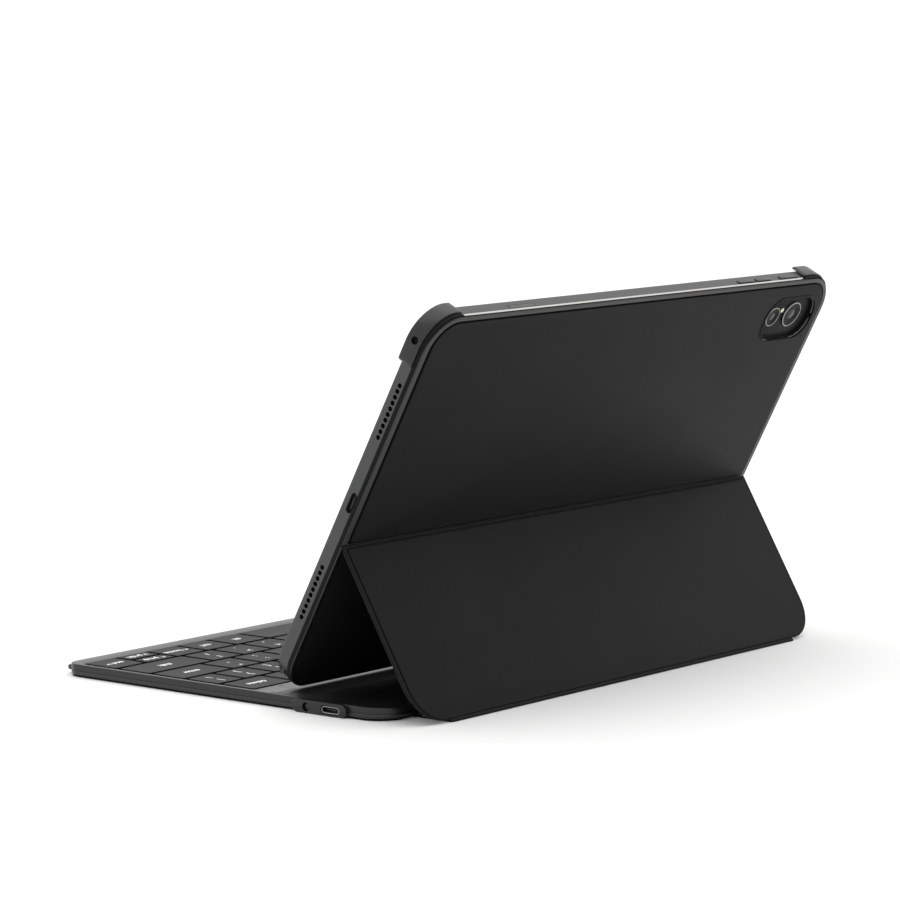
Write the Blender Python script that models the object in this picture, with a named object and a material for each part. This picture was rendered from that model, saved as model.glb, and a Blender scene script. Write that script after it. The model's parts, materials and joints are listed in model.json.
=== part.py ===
"""Tablet keyboard case, standing open as a stand, with its tablet seated in the back shell.

The case opens on three leather hinges.  The keyboard base lies flat, a narrow spine lies behind
it, the kick panel rises from the spine's rear edge and leans forward, and the back cover hangs
on the kick panel's top edge.  The cover's heel stands on a ridge behind the keys.

Frame: origin at the centre of the base's underside, +X to the typist's right, +Y away from the
typist, +Z up.  Lengths are metres and angles are degrees.
"""
import math

import bmesh
import bpy
from mathutils import Matrix, Vector

for old_object in list(bpy.data.objects):
    bpy.data.objects.remove(old_object, do_unlink=True)

# ---------------------------------------------------------------- driving dimensions: tablet
TABLET_WIDTH = 0.2766
TABLET_HEIGHT = 0.1704
TABLET_THICKNESS = 0.0070
TABLET_CORNER = 0.0140
GLASS_THICKNESS = 0.0008
GLASS_INSET = 0.0007
GLASS_GAP = 0.00015

# ---------------------------------------------------------------- driving dimensions: stand
LEAN = 27.54                 # the back cover's lean from upright
HEEL_TO_FOLD = 0.0686        # from the cover's heel up to the fold
KICK_REACH = 0.0783          # from the fold down to the floor, along the kick panel
SPINE_DEPTH = 0.0190
OPEN_TURN = 120.0            # turn of the kick panel from standing to lying flat
FOLD_TURN = 57.8             # turn of the fold over the same motion
FOLD_AXIS_DROP = 0.0013      # the fold turns about the inner face of the kick panel

# ---------------------------------------------------------------- driving dimensions: panels
LEATHER = 0.00045
COVER_BORDER = 0.00095       # leather beyond the tablet's side
SHELL_BORDER = 0.00060       # hard shell beyond the tablet's side
TOP_BORDER = 0.00010         # leather beyond the tablet's top
HEEL_GAP = 0.00040
COVER_CORNER = 0.0160
KICK_CORNER = 0.0165
FOLD_CORNER = 0.0015
BOARD_INSET = 0.0035         # stitched-looking border round each board
EMBOSS_COVER = 0.00050
EMBOSS_KICK = 0.00035
EMBOSS_RAMP = 0.0006
EMBOSS_TO_FOLD = 0.0004      # flat leather between the raised field and the fold
BOARD_TO_FOLD = 0.0012
BOARD_KICK = 0.00070
LINING = 0.00040
SHELL_WALL = 0.00070
LINER_THICKNESS = 0.00025
LINER_INSET = 0.0060
FOLD_MARGIN_COVER = 0.0008   # bare leather above the fold
FOLD_MARGIN_KICK = 0.0016    # bare leather below the fold
FOOT_MARGIN = 0.0015         # bare leather between the kick panel and the floor
FOOT_STRIP_RISE = 0.0003     # foot strip's lower edge above the floor
STRIP_INSET = 0.01875        # hinge leather stops this far inside the panels' sides

# ---------------------------------------------------------------- driving dimensions: clips
CLIP_CLEARANCE = 0.0003
CLIP_WALL = 0.0009
CLIP_NECK = 0.00035
CLIP_BACK = 0.0025
CLIP_FRONT = 0.0099
CLIP_SIDE_LEG = 0.0227       # reach down the side, from the cover's top edge
CLIP_TOP_LEG_LEFT = 0.0215   # reach along the top, from the tablet's side
CLIP_TOP_LEG_RIGHT = 0.0171
MICROPHONE_HOLE = 0.0016
MICROPHONE_DROP = 0.0121     # below the tablet's top edge
MICROPHONE_LEVEL = 0.0005    # behind the middle of the clip's face

# ---------------------------------------------------------------- driving dimensions: camera
CAMERA_WIDTH = 0.0356
CAMERA_HEIGHT = 0.0205
CAMERA_CORNER = 0.0092
CAMERA_FROM_SIDE = 0.02525   # window centre from the cover's side
CAMERA_FROM_TOP = 0.0189     # window centre from the cover's top
TRIM_WIDTH = 0.0010
TRIM_RISE = 0.0003
PLATE_MARGIN = 0.0013        # camera plate inside its window
PLATE_RISE = 0.0006
LENS_LARGE = 0.0060
LENS_SMALL = 0.0046
LENS_RISE = 0.0007
LENS_LARGE_AT = (-0.0032, 0.0014)
LENS_SMALL_AT = (0.0113, 0.0012)

# ---------------------------------------------------------------- driving dimensions: base
BASE_BORDER = 0.0007         # base beyond the tablet's side
DECK_TOP = 0.0052
PARTING = 0.0026
PARTING_GAP = 0.0001
DECK_SKIN = 0.0012
WALL = 0.0014
TRAY_FLOOR = 0.0007
EDGE_CHAMFER = 0.0004
FRONT_MARGIN = 0.0086        # front edge of the base to the key bay
HEEL_BEHIND_KEYS = 0.0162    # key bay's rear edge to the cover's heel
FRONT_CORNER = 0.0070
REAR_CORNER = 0.0120
RIDGE_RISE = 0.0011
REST_GAP = 0.00035           # between the ridge and the heel
RIDGE_END = 0.0020           # ridge stops this far inside the base's side

# ---------------------------------------------------------------- driving dimensions: base details
SKIN_INSET = 0.0005            # base leather inside the base's outline
PLATE_REACH = 0.0020
SIDE_PLATE_FROM_REAR = (0.0456, 0.0178)
BUTTON_FROM_REAR = 0.0381
BUTTON_Z = 0.0024
BUTTON_RADIUS = 0.00150
BUTTON_SUNK = 0.0008
BUTTON_LENGTH = 0.0034
PORT_FROM_REAR = 0.0257
PORT_Z = 0.0024
PORT_WIDTH = 0.0090
PORT_HEIGHT = 0.0028
PORT_DEPTH = 0.0070
PORT_WALL = 0.00035
PORT_SUNK = 0.0003
PORT_END_WALL = 0.0012
SIDE_BORE_DEPTH = 0.0080
LAMP_RADIUS = 0.0006
LAMP_FROM_SIDE = 0.0150
LAMP_BEHIND_KEYS = 0.0031
PLATE_Z = 0.00135
PLATE_THICKNESS = 0.0004
SHEET_THICKNESS = 0.0003
INSIDE_LOW = 0.0015
BATTERY_HALF = 0.0600
BATTERY_FROM_REAR = (0.0460, 0.0060)
BATTERY_TOP = 0.0037
BATTERY_CORNER = 0.0020
BOARD_TOP = 0.0023
CIRCUIT_FROM_SIDE = (0.0460, 0.0025)
CIRCUIT_FROM_REAR = 0.0130
CIRCUIT_BEHIND_HEEL = 0.0024
MAGNET_FROM_SIDE = (0.0690, 0.0390)
MAGNET_HALF_DEPTH = 0.0035
RIDGE_FRONT = 0.0076         # ridge's front edge ahead of the heel
RIDGE_CREST = 0.0030         # where the crest starts ahead of the heel
RIDGE_BROW = 0.0010          # where the rear slope starts behind the heel
RIDGE_TAIL = 0.0120          # ridge's rear edge behind the heel
RIDGE_ROUND = (0.0008, 0.00025)  # run and drop of the crest's rounded rear edge
RIDGE_TAPER = 0.0100
RIDGE_FOOT = 0.0002
LIP_REACH = 0.0030
LIP_INSET = 0.0045
LIP_LOW = 0.0014
LIP_HIGH = 0.0036
SPINE_FRONT = 0.0014         # bare leather ahead of the spine
SPINE_REAR = 0.0028          # bare leather behind the spine
SPINE_BOARD = 0.0005
SPINE_BOARD_INSET = 0.0010

# ---------------------------------------------------------------- driving dimensions: tablet edges
EDGE_BUTTON_LEVEL = 0.0021       # from the tablet's back
EDGE_BUTTON_HALF = 0.0011
EDGE_BUTTON_RISE = 0.0005
EDGE_BUTTON_ROOT = 0.0010
EDGE_BUTTONS = {                 # distances from the tablet's left side
    "volume_up": (0.0581, 0.0701),
    "volume_down": (0.0461, 0.0568),
    "power_button": (0.0254, 0.0387),
}
CARD_TRAY_FROM_RIGHT = (0.0468, 0.0648)
TABLET_PORT_RISE = 0.0854        # port's middle above the tablet's lower edge
TABLET_PORT_LEVEL = 0.0025       # from the tablet's back
TABLET_PORT_SIZE = (0.0088, 0.0028)
TABLET_PORT_DEPTH = 0.0060
TABLET_CHAMFER = 0.0005
TABLET_WALL = 0.0022
TABLET_BACK_WALL = 0.0009

# ---------------------------------------------------------------- driving dimensions: keys
KEY_ROW_COUNT = 5
ROW_PITCH = 0.0188
KEY_GAP = 0.00215
KEY_TOP = 0.0054
KEY_HEIGHT = 0.0017
KEY_CORNER = 0.0010
KEY_CHAMFER = 0.00035
WEB_WIDTH = 0.0060
WEB_HEIGHT = 0.0004
BAY_SIDE_WALL = 0.0021
ROW_UNITS = 14.56            # width of each key row in key pitches

LAYER_GAP = 0.00005          # between glued layers
FIT_GAP = 0.0003             # between separate parts
OVERSHOOT = 0.0020           # how far a cutting tool stands clear of what it cuts
ROUND_END = 0.999            # share of half a slot's height that its end radius takes
CORNER_STEPS = 5
KEY_CORNER_STEPS = 3
CIRCLE_SIDES = 16
LENS_SIDES = 20
SMALL_HOLE_SIDES = 12
LAMP_SIDES = 8
CLIP_STEPS = 8

# ---------------------------------------------------------------- sizes that follow
PANEL_HALF = TABLET_WIDTH / 2 + COVER_BORDER
SHELL_HALF = TABLET_WIDTH / 2 + SHELL_BORDER
BASE_HALF = TABLET_WIDTH / 2 + BASE_BORDER
COVER_TOP = HEEL_GAP + TABLET_HEIGHT + TOP_BORDER - HEEL_TO_FOLD
SHELL_BACK = LEATHER + LAYER_GAP
SHELL_FRONT = SHELL_BACK + SHELL_WALL
LINER_BACK = SHELL_FRONT + LAYER_GAP
TABLET_BACK = LINER_BACK + LINER_THICKNESS + FIT_GAP
TABLET_FRONT = TABLET_BACK + TABLET_THICKNESS
TABLET_BOTTOM = HEEL_GAP - HEEL_TO_FOLD
TABLET_TOP = TABLET_BOTTOM + TABLET_HEIGHT

lean = math.radians(LEAN)
HEEL_HEIGHT = DECK_TOP + RIDGE_RISE + REST_GAP
FOLD_HEIGHT = HEEL_HEIGHT + HEEL_TO_FOLD * math.cos(lean)
kick_lean = math.acos(FOLD_HEIGHT / KICK_REACH)
HEEL_TO_FOOT = HEEL_TO_FOLD * math.sin(lean) + KICK_REACH * math.sin(kick_lean)

BAY_DEPTH = KEY_ROW_COUNT * ROW_PITCH
BASE_DEPTH = FRONT_MARGIN + BAY_DEPTH + HEEL_BEHIND_KEYS + HEEL_TO_FOOT - SPINE_DEPTH
FRONT_Y = -BASE_DEPTH / 2
REAR_Y = BASE_DEPTH / 2
BAY_FRONT = FRONT_Y + FRONT_MARGIN
BAY_REAR = BAY_FRONT + BAY_DEPTH
BAY_HALF = BASE_HALF - BAY_SIDE_WALL
KEY_PITCH = 2 * BAY_HALF / ROW_UNITS
HEEL_Y = BAY_REAR + HEEL_BEHIND_KEYS
FOOT_Y = REAR_Y + SPINE_DEPTH
FOLD_Y = HEEL_Y + HEEL_TO_FOLD * math.sin(lean)
TRAY_BOTTOM = LEATHER + LAYER_GAP
TRAY_INSIDE = TRAY_BOTTOM + TRAY_FLOOR
DECK_BOTTOM = PARTING + PARTING_GAP / 2
TRAY_TOP = PARTING - PARTING_GAP / 2
DECK_INSIDE = DECK_TOP - DECK_SKIN
SIDE_PLATE_FRONT = REAR_Y - SIDE_PLATE_FROM_REAR[0]
SIDE_PLATE_REAR = REAR_Y - SIDE_PLATE_FROM_REAR[1]
BUTTON_Y = REAR_Y - BUTTON_FROM_REAR
PORT_Y = REAR_Y - PORT_FROM_REAR
KICK_TOP = KICK_REACH - FOLD_MARGIN_KICK
EDGE_BUTTON_DEPTH = TABLET_BACK + EDGE_BUTTON_LEVEL


# ---------------------------------------------------------------- materials
def material(name, colour, roughness, metallic=0.0):
    """A Principled finish of one colour (linear red, green, blue)."""
    finish = bpy.data.materials.new(name)
    finish.use_nodes = True
    shader = finish.node_tree.nodes["Principled BSDF"]
    shader.inputs["Base Color"].default_value = (*colour, 1.0)
    shader.inputs["Roughness"].default_value = roughness
    shader.inputs["Metallic"].default_value = metallic
    return finish


# ---------------------------------------------------------------- shapes
def rounded_rectangle(left, right, bottom, top, lower_radius, upper_radius, steps=CORNER_STEPS):
    """Anticlockwise outline; each corner is an arc, so outlines always match point for point."""
    corners = [
        (right, bottom, lower_radius, -90.0, -1, 1),
        (right, top, upper_radius, 0.0, -1, -1),
        (left, top, upper_radius, 90.0, 1, -1),
        (left, bottom, lower_radius, 180.0, 1, 1),
    ]
    points = []
    for corner_x, corner_y, radius, start, side_x, side_y in corners:
        centre = (corner_x + side_x * radius, corner_y + side_y * radius)
        for step in range(steps):
            turn = math.radians(start + 90.0 * step / (steps - 1))
            points.append((centre[0] + radius * math.cos(turn), centre[1] + radius * math.sin(turn)))
    return points


def circle(centre, radius, sides=CIRCLE_SIDES):
    return [
        (
            centre[0] + radius * math.cos(2 * math.pi * side / sides),
            centre[1] + radius * math.sin(2 * math.pi * side / sides),
        )
        for side in range(sides)
    ]


def loft(name, loops, frame, finish, origin=(0.0, 0.0, 0.0), spin=None):
    """One closed body from outlines stacked along the frame's third axis, capped at both ends."""
    shape = bmesh.new()
    rings = []
    for outline, level in loops:
        ring = []
        for across, along in outline:
            point = Vector((across, along, level))
            if spin is not None:
                point = spin @ point
            ring.append(shape.verts.new(point - Vector(origin)))
        rings.append(ring)
    for lower, upper in zip(rings, rings[1:]):
        for index in range(len(lower)):
            following = (index + 1) % len(lower)
            shape.faces.new((lower[index], lower[following], upper[following], upper[index]))
    shape.faces.new(reversed(rings[0]))
    shape.faces.new(rings[-1])
    return finish_body(name, shape, frame, finish, origin)


def finish_body(name, shape, frame, finish, origin):
    """Turns a bmesh into an object under its frame, with its origin at the given local point."""
    bmesh.ops.recalc_face_normals(shape, faces=shape.faces)
    mesh = bpy.data.meshes.new(name)
    shape.to_mesh(mesh)
    shape.free()
    if finish is not None:
        mesh.materials.append(finish)
    body = bpy.data.objects.new(name, mesh)
    bpy.context.collection.objects.link(body)
    body.parent = frame
    body.location = origin
    return body


def cut(target, tool, operation="DIFFERENCE"):
    """Cuts or joins a hidden tool body; the tool stays in the file as a wire guide."""
    tool.hide_render = True
    tool.display_type = "WIRE"
    step = target.modifiers.new(tool.name, "BOOLEAN")
    step.operation = operation
    step.solver = "EXACT"
    step.object = tool


def prism(name, outline, low, high, frame, finish=None, origin=(0.0, 0.0, 0.0), spin=None):
    return loft(name, [(outline, low), (outline, high)], frame, finish, origin, spin)


def box_outline(left, right, bottom, top):
    return [(left, bottom), (right, bottom), (right, top), (left, top)]


def frame_at(name, position, across, along):
    """An empty whose axes are a panel's width, its length and, as their cross product, its depth."""
    across, along = Vector(across), Vector(along)
    depth = across.cross(along)
    turned = Matrix((across, along, depth)).transposed().to_4x4()
    empty = bpy.data.objects.new(name, None)
    empty.matrix_world = Matrix.Translation(position) @ turned
    bpy.context.collection.objects.link(empty)
    return empty


# Turns an outline drawn on (across, depth) so that it is swept along the frame's second axis.
SWEPT_ALONG = Matrix(((1, 0, 0), (0, 0, 1), (0, 1, 0)))
# Turns an outline drawn on (along, depth) so that it is swept along the frame's first axis.
SWEPT_ACROSS = Matrix(((0, 0, 1), (1, 0, 0), (0, 1, 0)))

# ---------------------------------------------------------------- frames, one for each body
cover_up = Vector((0.0, math.sin(lean), math.cos(lean)))
kick_up = Vector((0.0, -math.sin(kick_lean), math.cos(kick_lean)))
fold_line = Vector((0.0, FOLD_Y, FOLD_HEIGHT))
fold_axis = fold_line - FOLD_AXIS_DROP * cover_up
base_frame = frame_at("base_frame", (0.0, 0.0, 0.0), (1, 0, 0), (0, 1, 0))
spine_frame = frame_at("spine_frame", (0.0, REAR_Y, 0.0), (1, 0, 0), (0, 1, 0))
kick_frame = frame_at("kick_frame", (0.0, FOOT_Y, 0.0), (1, 0, 0), kick_up)
cover_frame = frame_at("cover_frame", fold_axis, (1, 0, 0), cover_up)
tablet_frame = frame_at("tablet_frame", fold_axis, (1, 0, 0), cover_up)

leather = material("coated_leather", (0.017, 0.017, 0.018), 0.55)
board = material("grey_board", (0.18, 0.17, 0.16), 0.9)
lining = material("microfibre_lining", (0.020, 0.020, 0.021), 0.95)
shell_plastic = material("shell_polycarbonate", (0.022, 0.022, 0.023), 0.35)
deck_plastic = material("deck_polycarbonate", (0.050, 0.048, 0.045), 0.45)
key_plastic = material("key_abs", (0.045, 0.046, 0.047), 0.6)
steel = material("plate_steel", (0.45, 0.45, 0.46), 0.4, 1.0)
silicone = material("dome_silicone", (0.55, 0.56, 0.58), 0.5)
laminate = material("board_laminate", (0.01, 0.09, 0.04), 0.5)
pouch = material("battery_foil", (0.30, 0.30, 0.31), 0.45)
aluminium = material("tablet_aluminium", (0.090, 0.088, 0.085), 0.4, 1.0)
glass = material("screen_glass", (0.004, 0.004, 0.005), 0.08)
lens_glass = material("lens_glass", (0.006, 0.007, 0.010), 0.05)
lamp = material("light_pipe", (0.35, 0.36, 0.36), 0.3)
magnet = material("magnet_nickel", (0.55, 0.54, 0.50), 0.3, 1.0)


# ---------------------------------------------------------------- keyboard base
def base_outline(inset):
    return rounded_rectangle(
        -BASE_HALF + inset, BASE_HALF - inset, FRONT_Y + inset, REAR_Y - inset,
        FRONT_CORNER - inset, REAR_CORNER - inset,
    )


def stadium(centre, width, height, growth=0.0):
    """Slot outline with round ends."""
    half, radius = width / 2 + growth, height / 2 + growth
    return rounded_rectangle(
        centre[0] - half, centre[0] + half, centre[1] - radius, centre[1] + radius,
        radius * ROUND_END, radius * ROUND_END,
    )


def make_base():
    prism("base_skin", base_outline(SKIN_INSET), 0.0, LEATHER, base_frame, leather)

    tray = loft("base_tray", [
        (base_outline(EDGE_CHAMFER), TRAY_BOTTOM),
        (base_outline(0.0), TRAY_BOTTOM + EDGE_CHAMFER),
        (base_outline(0.0), TRAY_TOP),
    ], base_frame, shell_plastic)
    cut(tray, prism("tray_hollow", base_outline(WALL), TRAY_INSIDE, DECK_TOP, base_frame))

    deck = loft("deck_frame", [
        (base_outline(0.0), DECK_BOTTOM),
        (base_outline(0.0), DECK_TOP - EDGE_CHAMFER),
        (base_outline(EDGE_CHAMFER), DECK_TOP),
    ], base_frame, deck_plastic)
    bay = rounded_rectangle(-BAY_HALF, BAY_HALF, BAY_FRONT, BAY_REAR, KEY_CORNER, KEY_CORNER)
    cut(deck, prism("key_bay", bay, 0.0, 2 * DECK_TOP, base_frame))
    hollow = rounded_rectangle(
        -BASE_HALF + WALL, BASE_HALF - WALL, BAY_REAR + WALL, REAR_Y - WALL,
        KEY_CORNER, REAR_CORNER - WALL,
    )
    cut(deck, prism("deck_hollow", hollow, 0.0, DECK_INSIDE, base_frame))

    side_holes = [
        ("button_bore", circle((BUTTON_Y, BUTTON_Z), BUTTON_RADIUS + FIT_GAP)),
        ("port_slot", stadium((PORT_Y, PORT_Z), PORT_WIDTH, PORT_HEIGHT, FIT_GAP)),
    ]
    for name, outline in side_holes:
        tool = prism(
            name, outline, BASE_HALF - SIDE_BORE_DEPTH, BASE_HALF + 2 * PLATE_REACH, base_frame,
            spin=SWEPT_ACROSS,
        )
        cut(tray, tool)
        cut(deck, tool)
    lamp_at = (BASE_HALF - LAMP_FROM_SIDE, BAY_REAR + LAMP_BEHIND_KEYS)
    cut(deck, prism(
        "lamp_bore", circle(lamp_at, LAMP_RADIUS + FIT_GAP, LAMP_SIDES), 0.0, 2 * DECK_TOP, base_frame,
    ))
    prism(
        "status_light", circle(lamp_at, LAMP_RADIUS, LAMP_SIDES), DECK_INSIDE + LAYER_GAP,
        DECK_TOP - LAYER_GAP, base_frame, lamp,
    )
    make_side_plate()
    make_inside()
    make_ridge()
    make_lip()


def make_side_plate():
    """The proud bezel round the charging port and the round button."""
    middle = (SIDE_PLATE_FRONT + SIDE_PLATE_REAR) / 2
    width = SIDE_PLATE_REAR - SIDE_PLATE_FRONT

    def outline(growth):
        return stadium((middle, DECK_TOP / 2), width, DECK_TOP, growth)

    inner = BASE_HALF + FIT_GAP / 2
    outer = BASE_HALF + PLATE_REACH
    plate = loft("side_plate", [
        (outline(0.0), inner),
        (outline(0.0), outer - EDGE_CHAMFER),
        (outline(-EDGE_CHAMFER), outer),
    ], base_frame, deck_plastic, spin=SWEPT_ACROSS)
    cut(plate, bpy.data.objects["button_bore"])
    cut(plate, bpy.data.objects["port_slot"])

    port_outer = outer - PORT_SUNK
    port = prism(
        "charging_port", stadium((PORT_Y, PORT_Z), PORT_WIDTH, PORT_HEIGHT),
        port_outer - PORT_DEPTH, port_outer, base_frame, steel, spin=SWEPT_ACROSS,
    )
    cut(port, prism(
        "port_mouth", stadium((PORT_Y, PORT_Z), PORT_WIDTH, PORT_HEIGHT, -PORT_WALL),
        port_outer - PORT_DEPTH + PORT_END_WALL, port_outer + OVERSHOOT, base_frame, spin=SWEPT_ACROSS,
    ))
    button_face = outer - BUTTON_SUNK
    loft("switch_button", [
        (circle((BUTTON_Y, BUTTON_Z), BUTTON_RADIUS), button_face - BUTTON_LENGTH),
        (circle((BUTTON_Y, BUTTON_Z), BUTTON_RADIUS), button_face - EDGE_CHAMFER),
        (circle((BUTTON_Y, BUTTON_Z), BUTTON_RADIUS - EDGE_CHAMFER), button_face),
    ], base_frame, deck_plastic, (button_face, BUTTON_Y, BUTTON_Z), SWEPT_ACROSS)


def make_inside():
    """Key plate, dome sheet, circuit board, battery and the two magnets under the ridge."""
    half, front, rear = BAY_HALF - KEY_GAP / 2, BAY_FRONT + KEY_GAP / 2, BAY_REAR - KEY_GAP / 2
    key_field = rounded_rectangle(-half, half, front, rear, KEY_CORNER, KEY_CORNER)
    plate_top = PLATE_Z + PLATE_THICKNESS
    prism("key_plate", key_field, PLATE_Z, plate_top, base_frame, steel)
    sheet_low = plate_top + 2 * LAYER_GAP
    prism("dome_sheet", key_field, sheet_low, sheet_low + SHEET_THICKNESS, base_frame, silicone)
    prism("battery", rounded_rectangle(
        -BATTERY_HALF, BATTERY_HALF, REAR_Y - BATTERY_FROM_REAR[0], REAR_Y - BATTERY_FROM_REAR[1],
        BATTERY_CORNER, BATTERY_CORNER,
    ), INSIDE_LOW, BATTERY_TOP, base_frame, pouch)
    circuit = prism("main_board", box_outline(
        BASE_HALF - CIRCUIT_FROM_SIDE[0], BASE_HALF - CIRCUIT_FROM_SIDE[1],
        HEEL_Y + CIRCUIT_BEHIND_HEEL, REAR_Y - CIRCUIT_FROM_REAR,
    ), INSIDE_LOW, BOARD_TOP, base_frame, laminate)
    notch_x = BASE_HALF + PLATE_REACH - PORT_DEPTH - 2 * FIT_GAP
    button_x = BASE_HALF + PLATE_REACH - BUTTON_SUNK - BUTTON_LENGTH - OVERSHOOT / 2
    notches = [
        ("port_notch", notch_x, PORT_Y, PORT_WIDTH / 2 + FIT_GAP),
        ("button_notch", button_x, BUTTON_Y, BUTTON_RADIUS + 2 * FIT_GAP),
    ]
    for name, left, middle, half_depth in notches:
        cut(circuit, prism(name, box_outline(
            left, BASE_HALF + OVERSHOOT, middle - half_depth, middle + half_depth,
        ), 0.0, DECK_TOP, base_frame))
    for side, name in ((-1, "dock_magnet_left"), (1, "dock_magnet_right")):
        near, far = sorted(side * (BASE_HALF - reach) for reach in MAGNET_FROM_SIDE)
        prism(name, box_outline(
            near, far, HEEL_Y - MAGNET_HALF_DEPTH, HEEL_Y + MAGNET_HALF_DEPTH,
        ), PARTING, DECK_INSIDE - LAYER_GAP, base_frame, magnet)


def make_ridge():
    """The low bar that the cover's heel stands on, with a long slope behind its crest."""
    low = DECK_TOP + LAYER_GAP
    crest = DECK_TOP + RIDGE_RISE
    profile = [
        (HEEL_Y - RIDGE_FRONT, low),
        (HEEL_Y + RIDGE_TAIL, low),
        (HEEL_Y + RIDGE_TAIL, low + RIDGE_FOOT),
        (HEEL_Y + RIDGE_BROW + RIDGE_ROUND[0], crest - RIDGE_ROUND[1]),
        (HEEL_Y + RIDGE_BROW, crest),
        (HEEL_Y - RIDGE_CREST, crest),
        (HEEL_Y - RIDGE_FRONT, low + RIDGE_FOOT),
    ]
    end_profile = [(y, low + RIDGE_FOOT * (z > low)) for y, z in profile]
    half = BASE_HALF - RIDGE_END
    loft("dock_ridge", [
        (end_profile, -half),
        (profile, -half + RIDGE_TAPER),
        (profile, half - RIDGE_TAPER),
        (end_profile, half),
    ], base_frame, deck_plastic, spin=SWEPT_ACROSS)


def make_lip():
    """The soft lip along the front edge that a finger lifts to open the case."""
    middle, half = (LIP_LOW + LIP_HIGH) / 2, (LIP_HIGH - LIP_LOW) / 2
    back = FRONT_Y - FIT_GAP / 2
    nose = [
        (
            back - LIP_REACH + half - half * math.cos(math.radians(turn)),
            middle + half * math.sin(math.radians(turn)),
        )
        for turn in (90, 45, 0, -45, -90)
    ]
    profile = [(back, LIP_LOW), (back, LIP_HIGH)] + nose
    reach = BASE_HALF - LIP_INSET
    prism("opening_lip", profile, -reach, reach, base_frame, shell_plastic, spin=SWEPT_ACROSS)


# ---------------------------------------------------------------- spine
def make_spine():
    """The flat strip between the base and the kick panel: leather, board and lining."""
    half = PANEL_HALF - STRIP_INSET

    def strip(inset):
        return rounded_rectangle(
            -half + inset, half - inset, SPINE_FRONT + inset, SPINE_DEPTH - SPINE_REAR - inset,
            FOLD_CORNER, FOLD_CORNER,
        )

    low = LEATHER + LAYER_GAP
    high = low + SPINE_BOARD
    prism("spine_skin", strip(0.0), 0.0, LEATHER, spine_frame, leather)
    prism("spine_board", strip(SPINE_BOARD_INSET), low, high, spine_frame, board)
    prism("spine_lining", strip(0.0), high + LAYER_GAP, high + LAYER_GAP + LINING, spine_frame, lining)


# ---------------------------------------------------------------- kick panel
def kick_outline(inset, top_inset):
    return rounded_rectangle(
        -PANEL_HALF + inset, PANEL_HALF - inset, FOOT_MARGIN + inset, KICK_TOP - top_inset,
        KICK_CORNER - inset, FOLD_CORNER,
    )


def make_kick():
    """A board between an outer leather skin and a lining, and the leather foot strip."""
    rim, near, far = kick_outline(0.0, 0.0), BOARD_INSET, BOARD_INSET + EMBOSS_RAMP
    edge = kick_outline(near, EMBOSS_TO_FOLD)
    step = kick_outline(far, EMBOSS_TO_FOLD + EMBOSS_RAMP / 2)
    loft("kick_skin", [
        (step, LEATHER - EMBOSS_KICK), (edge, LEATHER), (rim, LEATHER),
        (rim, 0.0), (edge, 0.0), (step, -EMBOSS_KICK),
    ], kick_frame, leather)
    board_low = LEATHER - EMBOSS_KICK + LAYER_GAP
    board_high = board_low + BOARD_KICK
    prism(
        "kick_board", kick_outline(far + LAYER_GAP, BOARD_TO_FOLD), board_low, board_high,
        kick_frame, board,
    )
    flat = LEATHER + LAYER_GAP
    bulge = board_high + LAYER_GAP
    loft("kick_lining", [
        (step, bulge), (edge, flat), (rim, flat),
        (rim, flat + LINING), (edge, flat + LINING), (step, bulge + LINING),
    ], kick_frame, lining)
    half = PANEL_HALF - STRIP_INSET
    prism(
        "foot_strip", box_outline(-half, half, FOOT_STRIP_RISE, FOOT_MARGIN - FIT_GAP / 3),
        0.0, LEATHER, kick_frame, leather,
    )


# ---------------------------------------------------------------- back cover and shell
# Lengths in the cover's frame run from the fold's axis, which lies below the fold line.
def cover_length(from_fold):
    return from_fold + FOLD_AXIS_DROP


def cover_outline(inset, lower_inset):
    return rounded_rectangle(
        -PANEL_HALF + inset, PANEL_HALF - inset,
        cover_length(FOLD_MARGIN_COVER + lower_inset), cover_length(COVER_TOP - inset),
        FOLD_CORNER, COVER_CORNER - inset,
    )


CAMERA_AT = (-PANEL_HALF + CAMERA_FROM_SIDE, cover_length(COVER_TOP - CAMERA_FROM_TOP))


def camera_outline(growth):
    half_width, half_height = CAMERA_WIDTH / 2 + growth, CAMERA_HEIGHT / 2 + growth
    return rounded_rectangle(
        CAMERA_AT[0] - half_width, CAMERA_AT[0] + half_width,
        CAMERA_AT[1] - half_height, CAMERA_AT[1] + half_height,
        CAMERA_CORNER + growth, CAMERA_CORNER + growth,
    )


def shell_outline(border):
    """The tablet's outline grown by a border, which never passes the leather's top edge."""
    half = TABLET_WIDTH / 2 + border
    return rounded_rectangle(
        -half, half, cover_length(TABLET_BOTTOM - HEEL_GAP * border / SHELL_BORDER),
        cover_length(TABLET_TOP + min(border, TOP_BORDER - LAYER_GAP)),
        TABLET_CORNER + border, TABLET_CORNER + border,
    )


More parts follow.
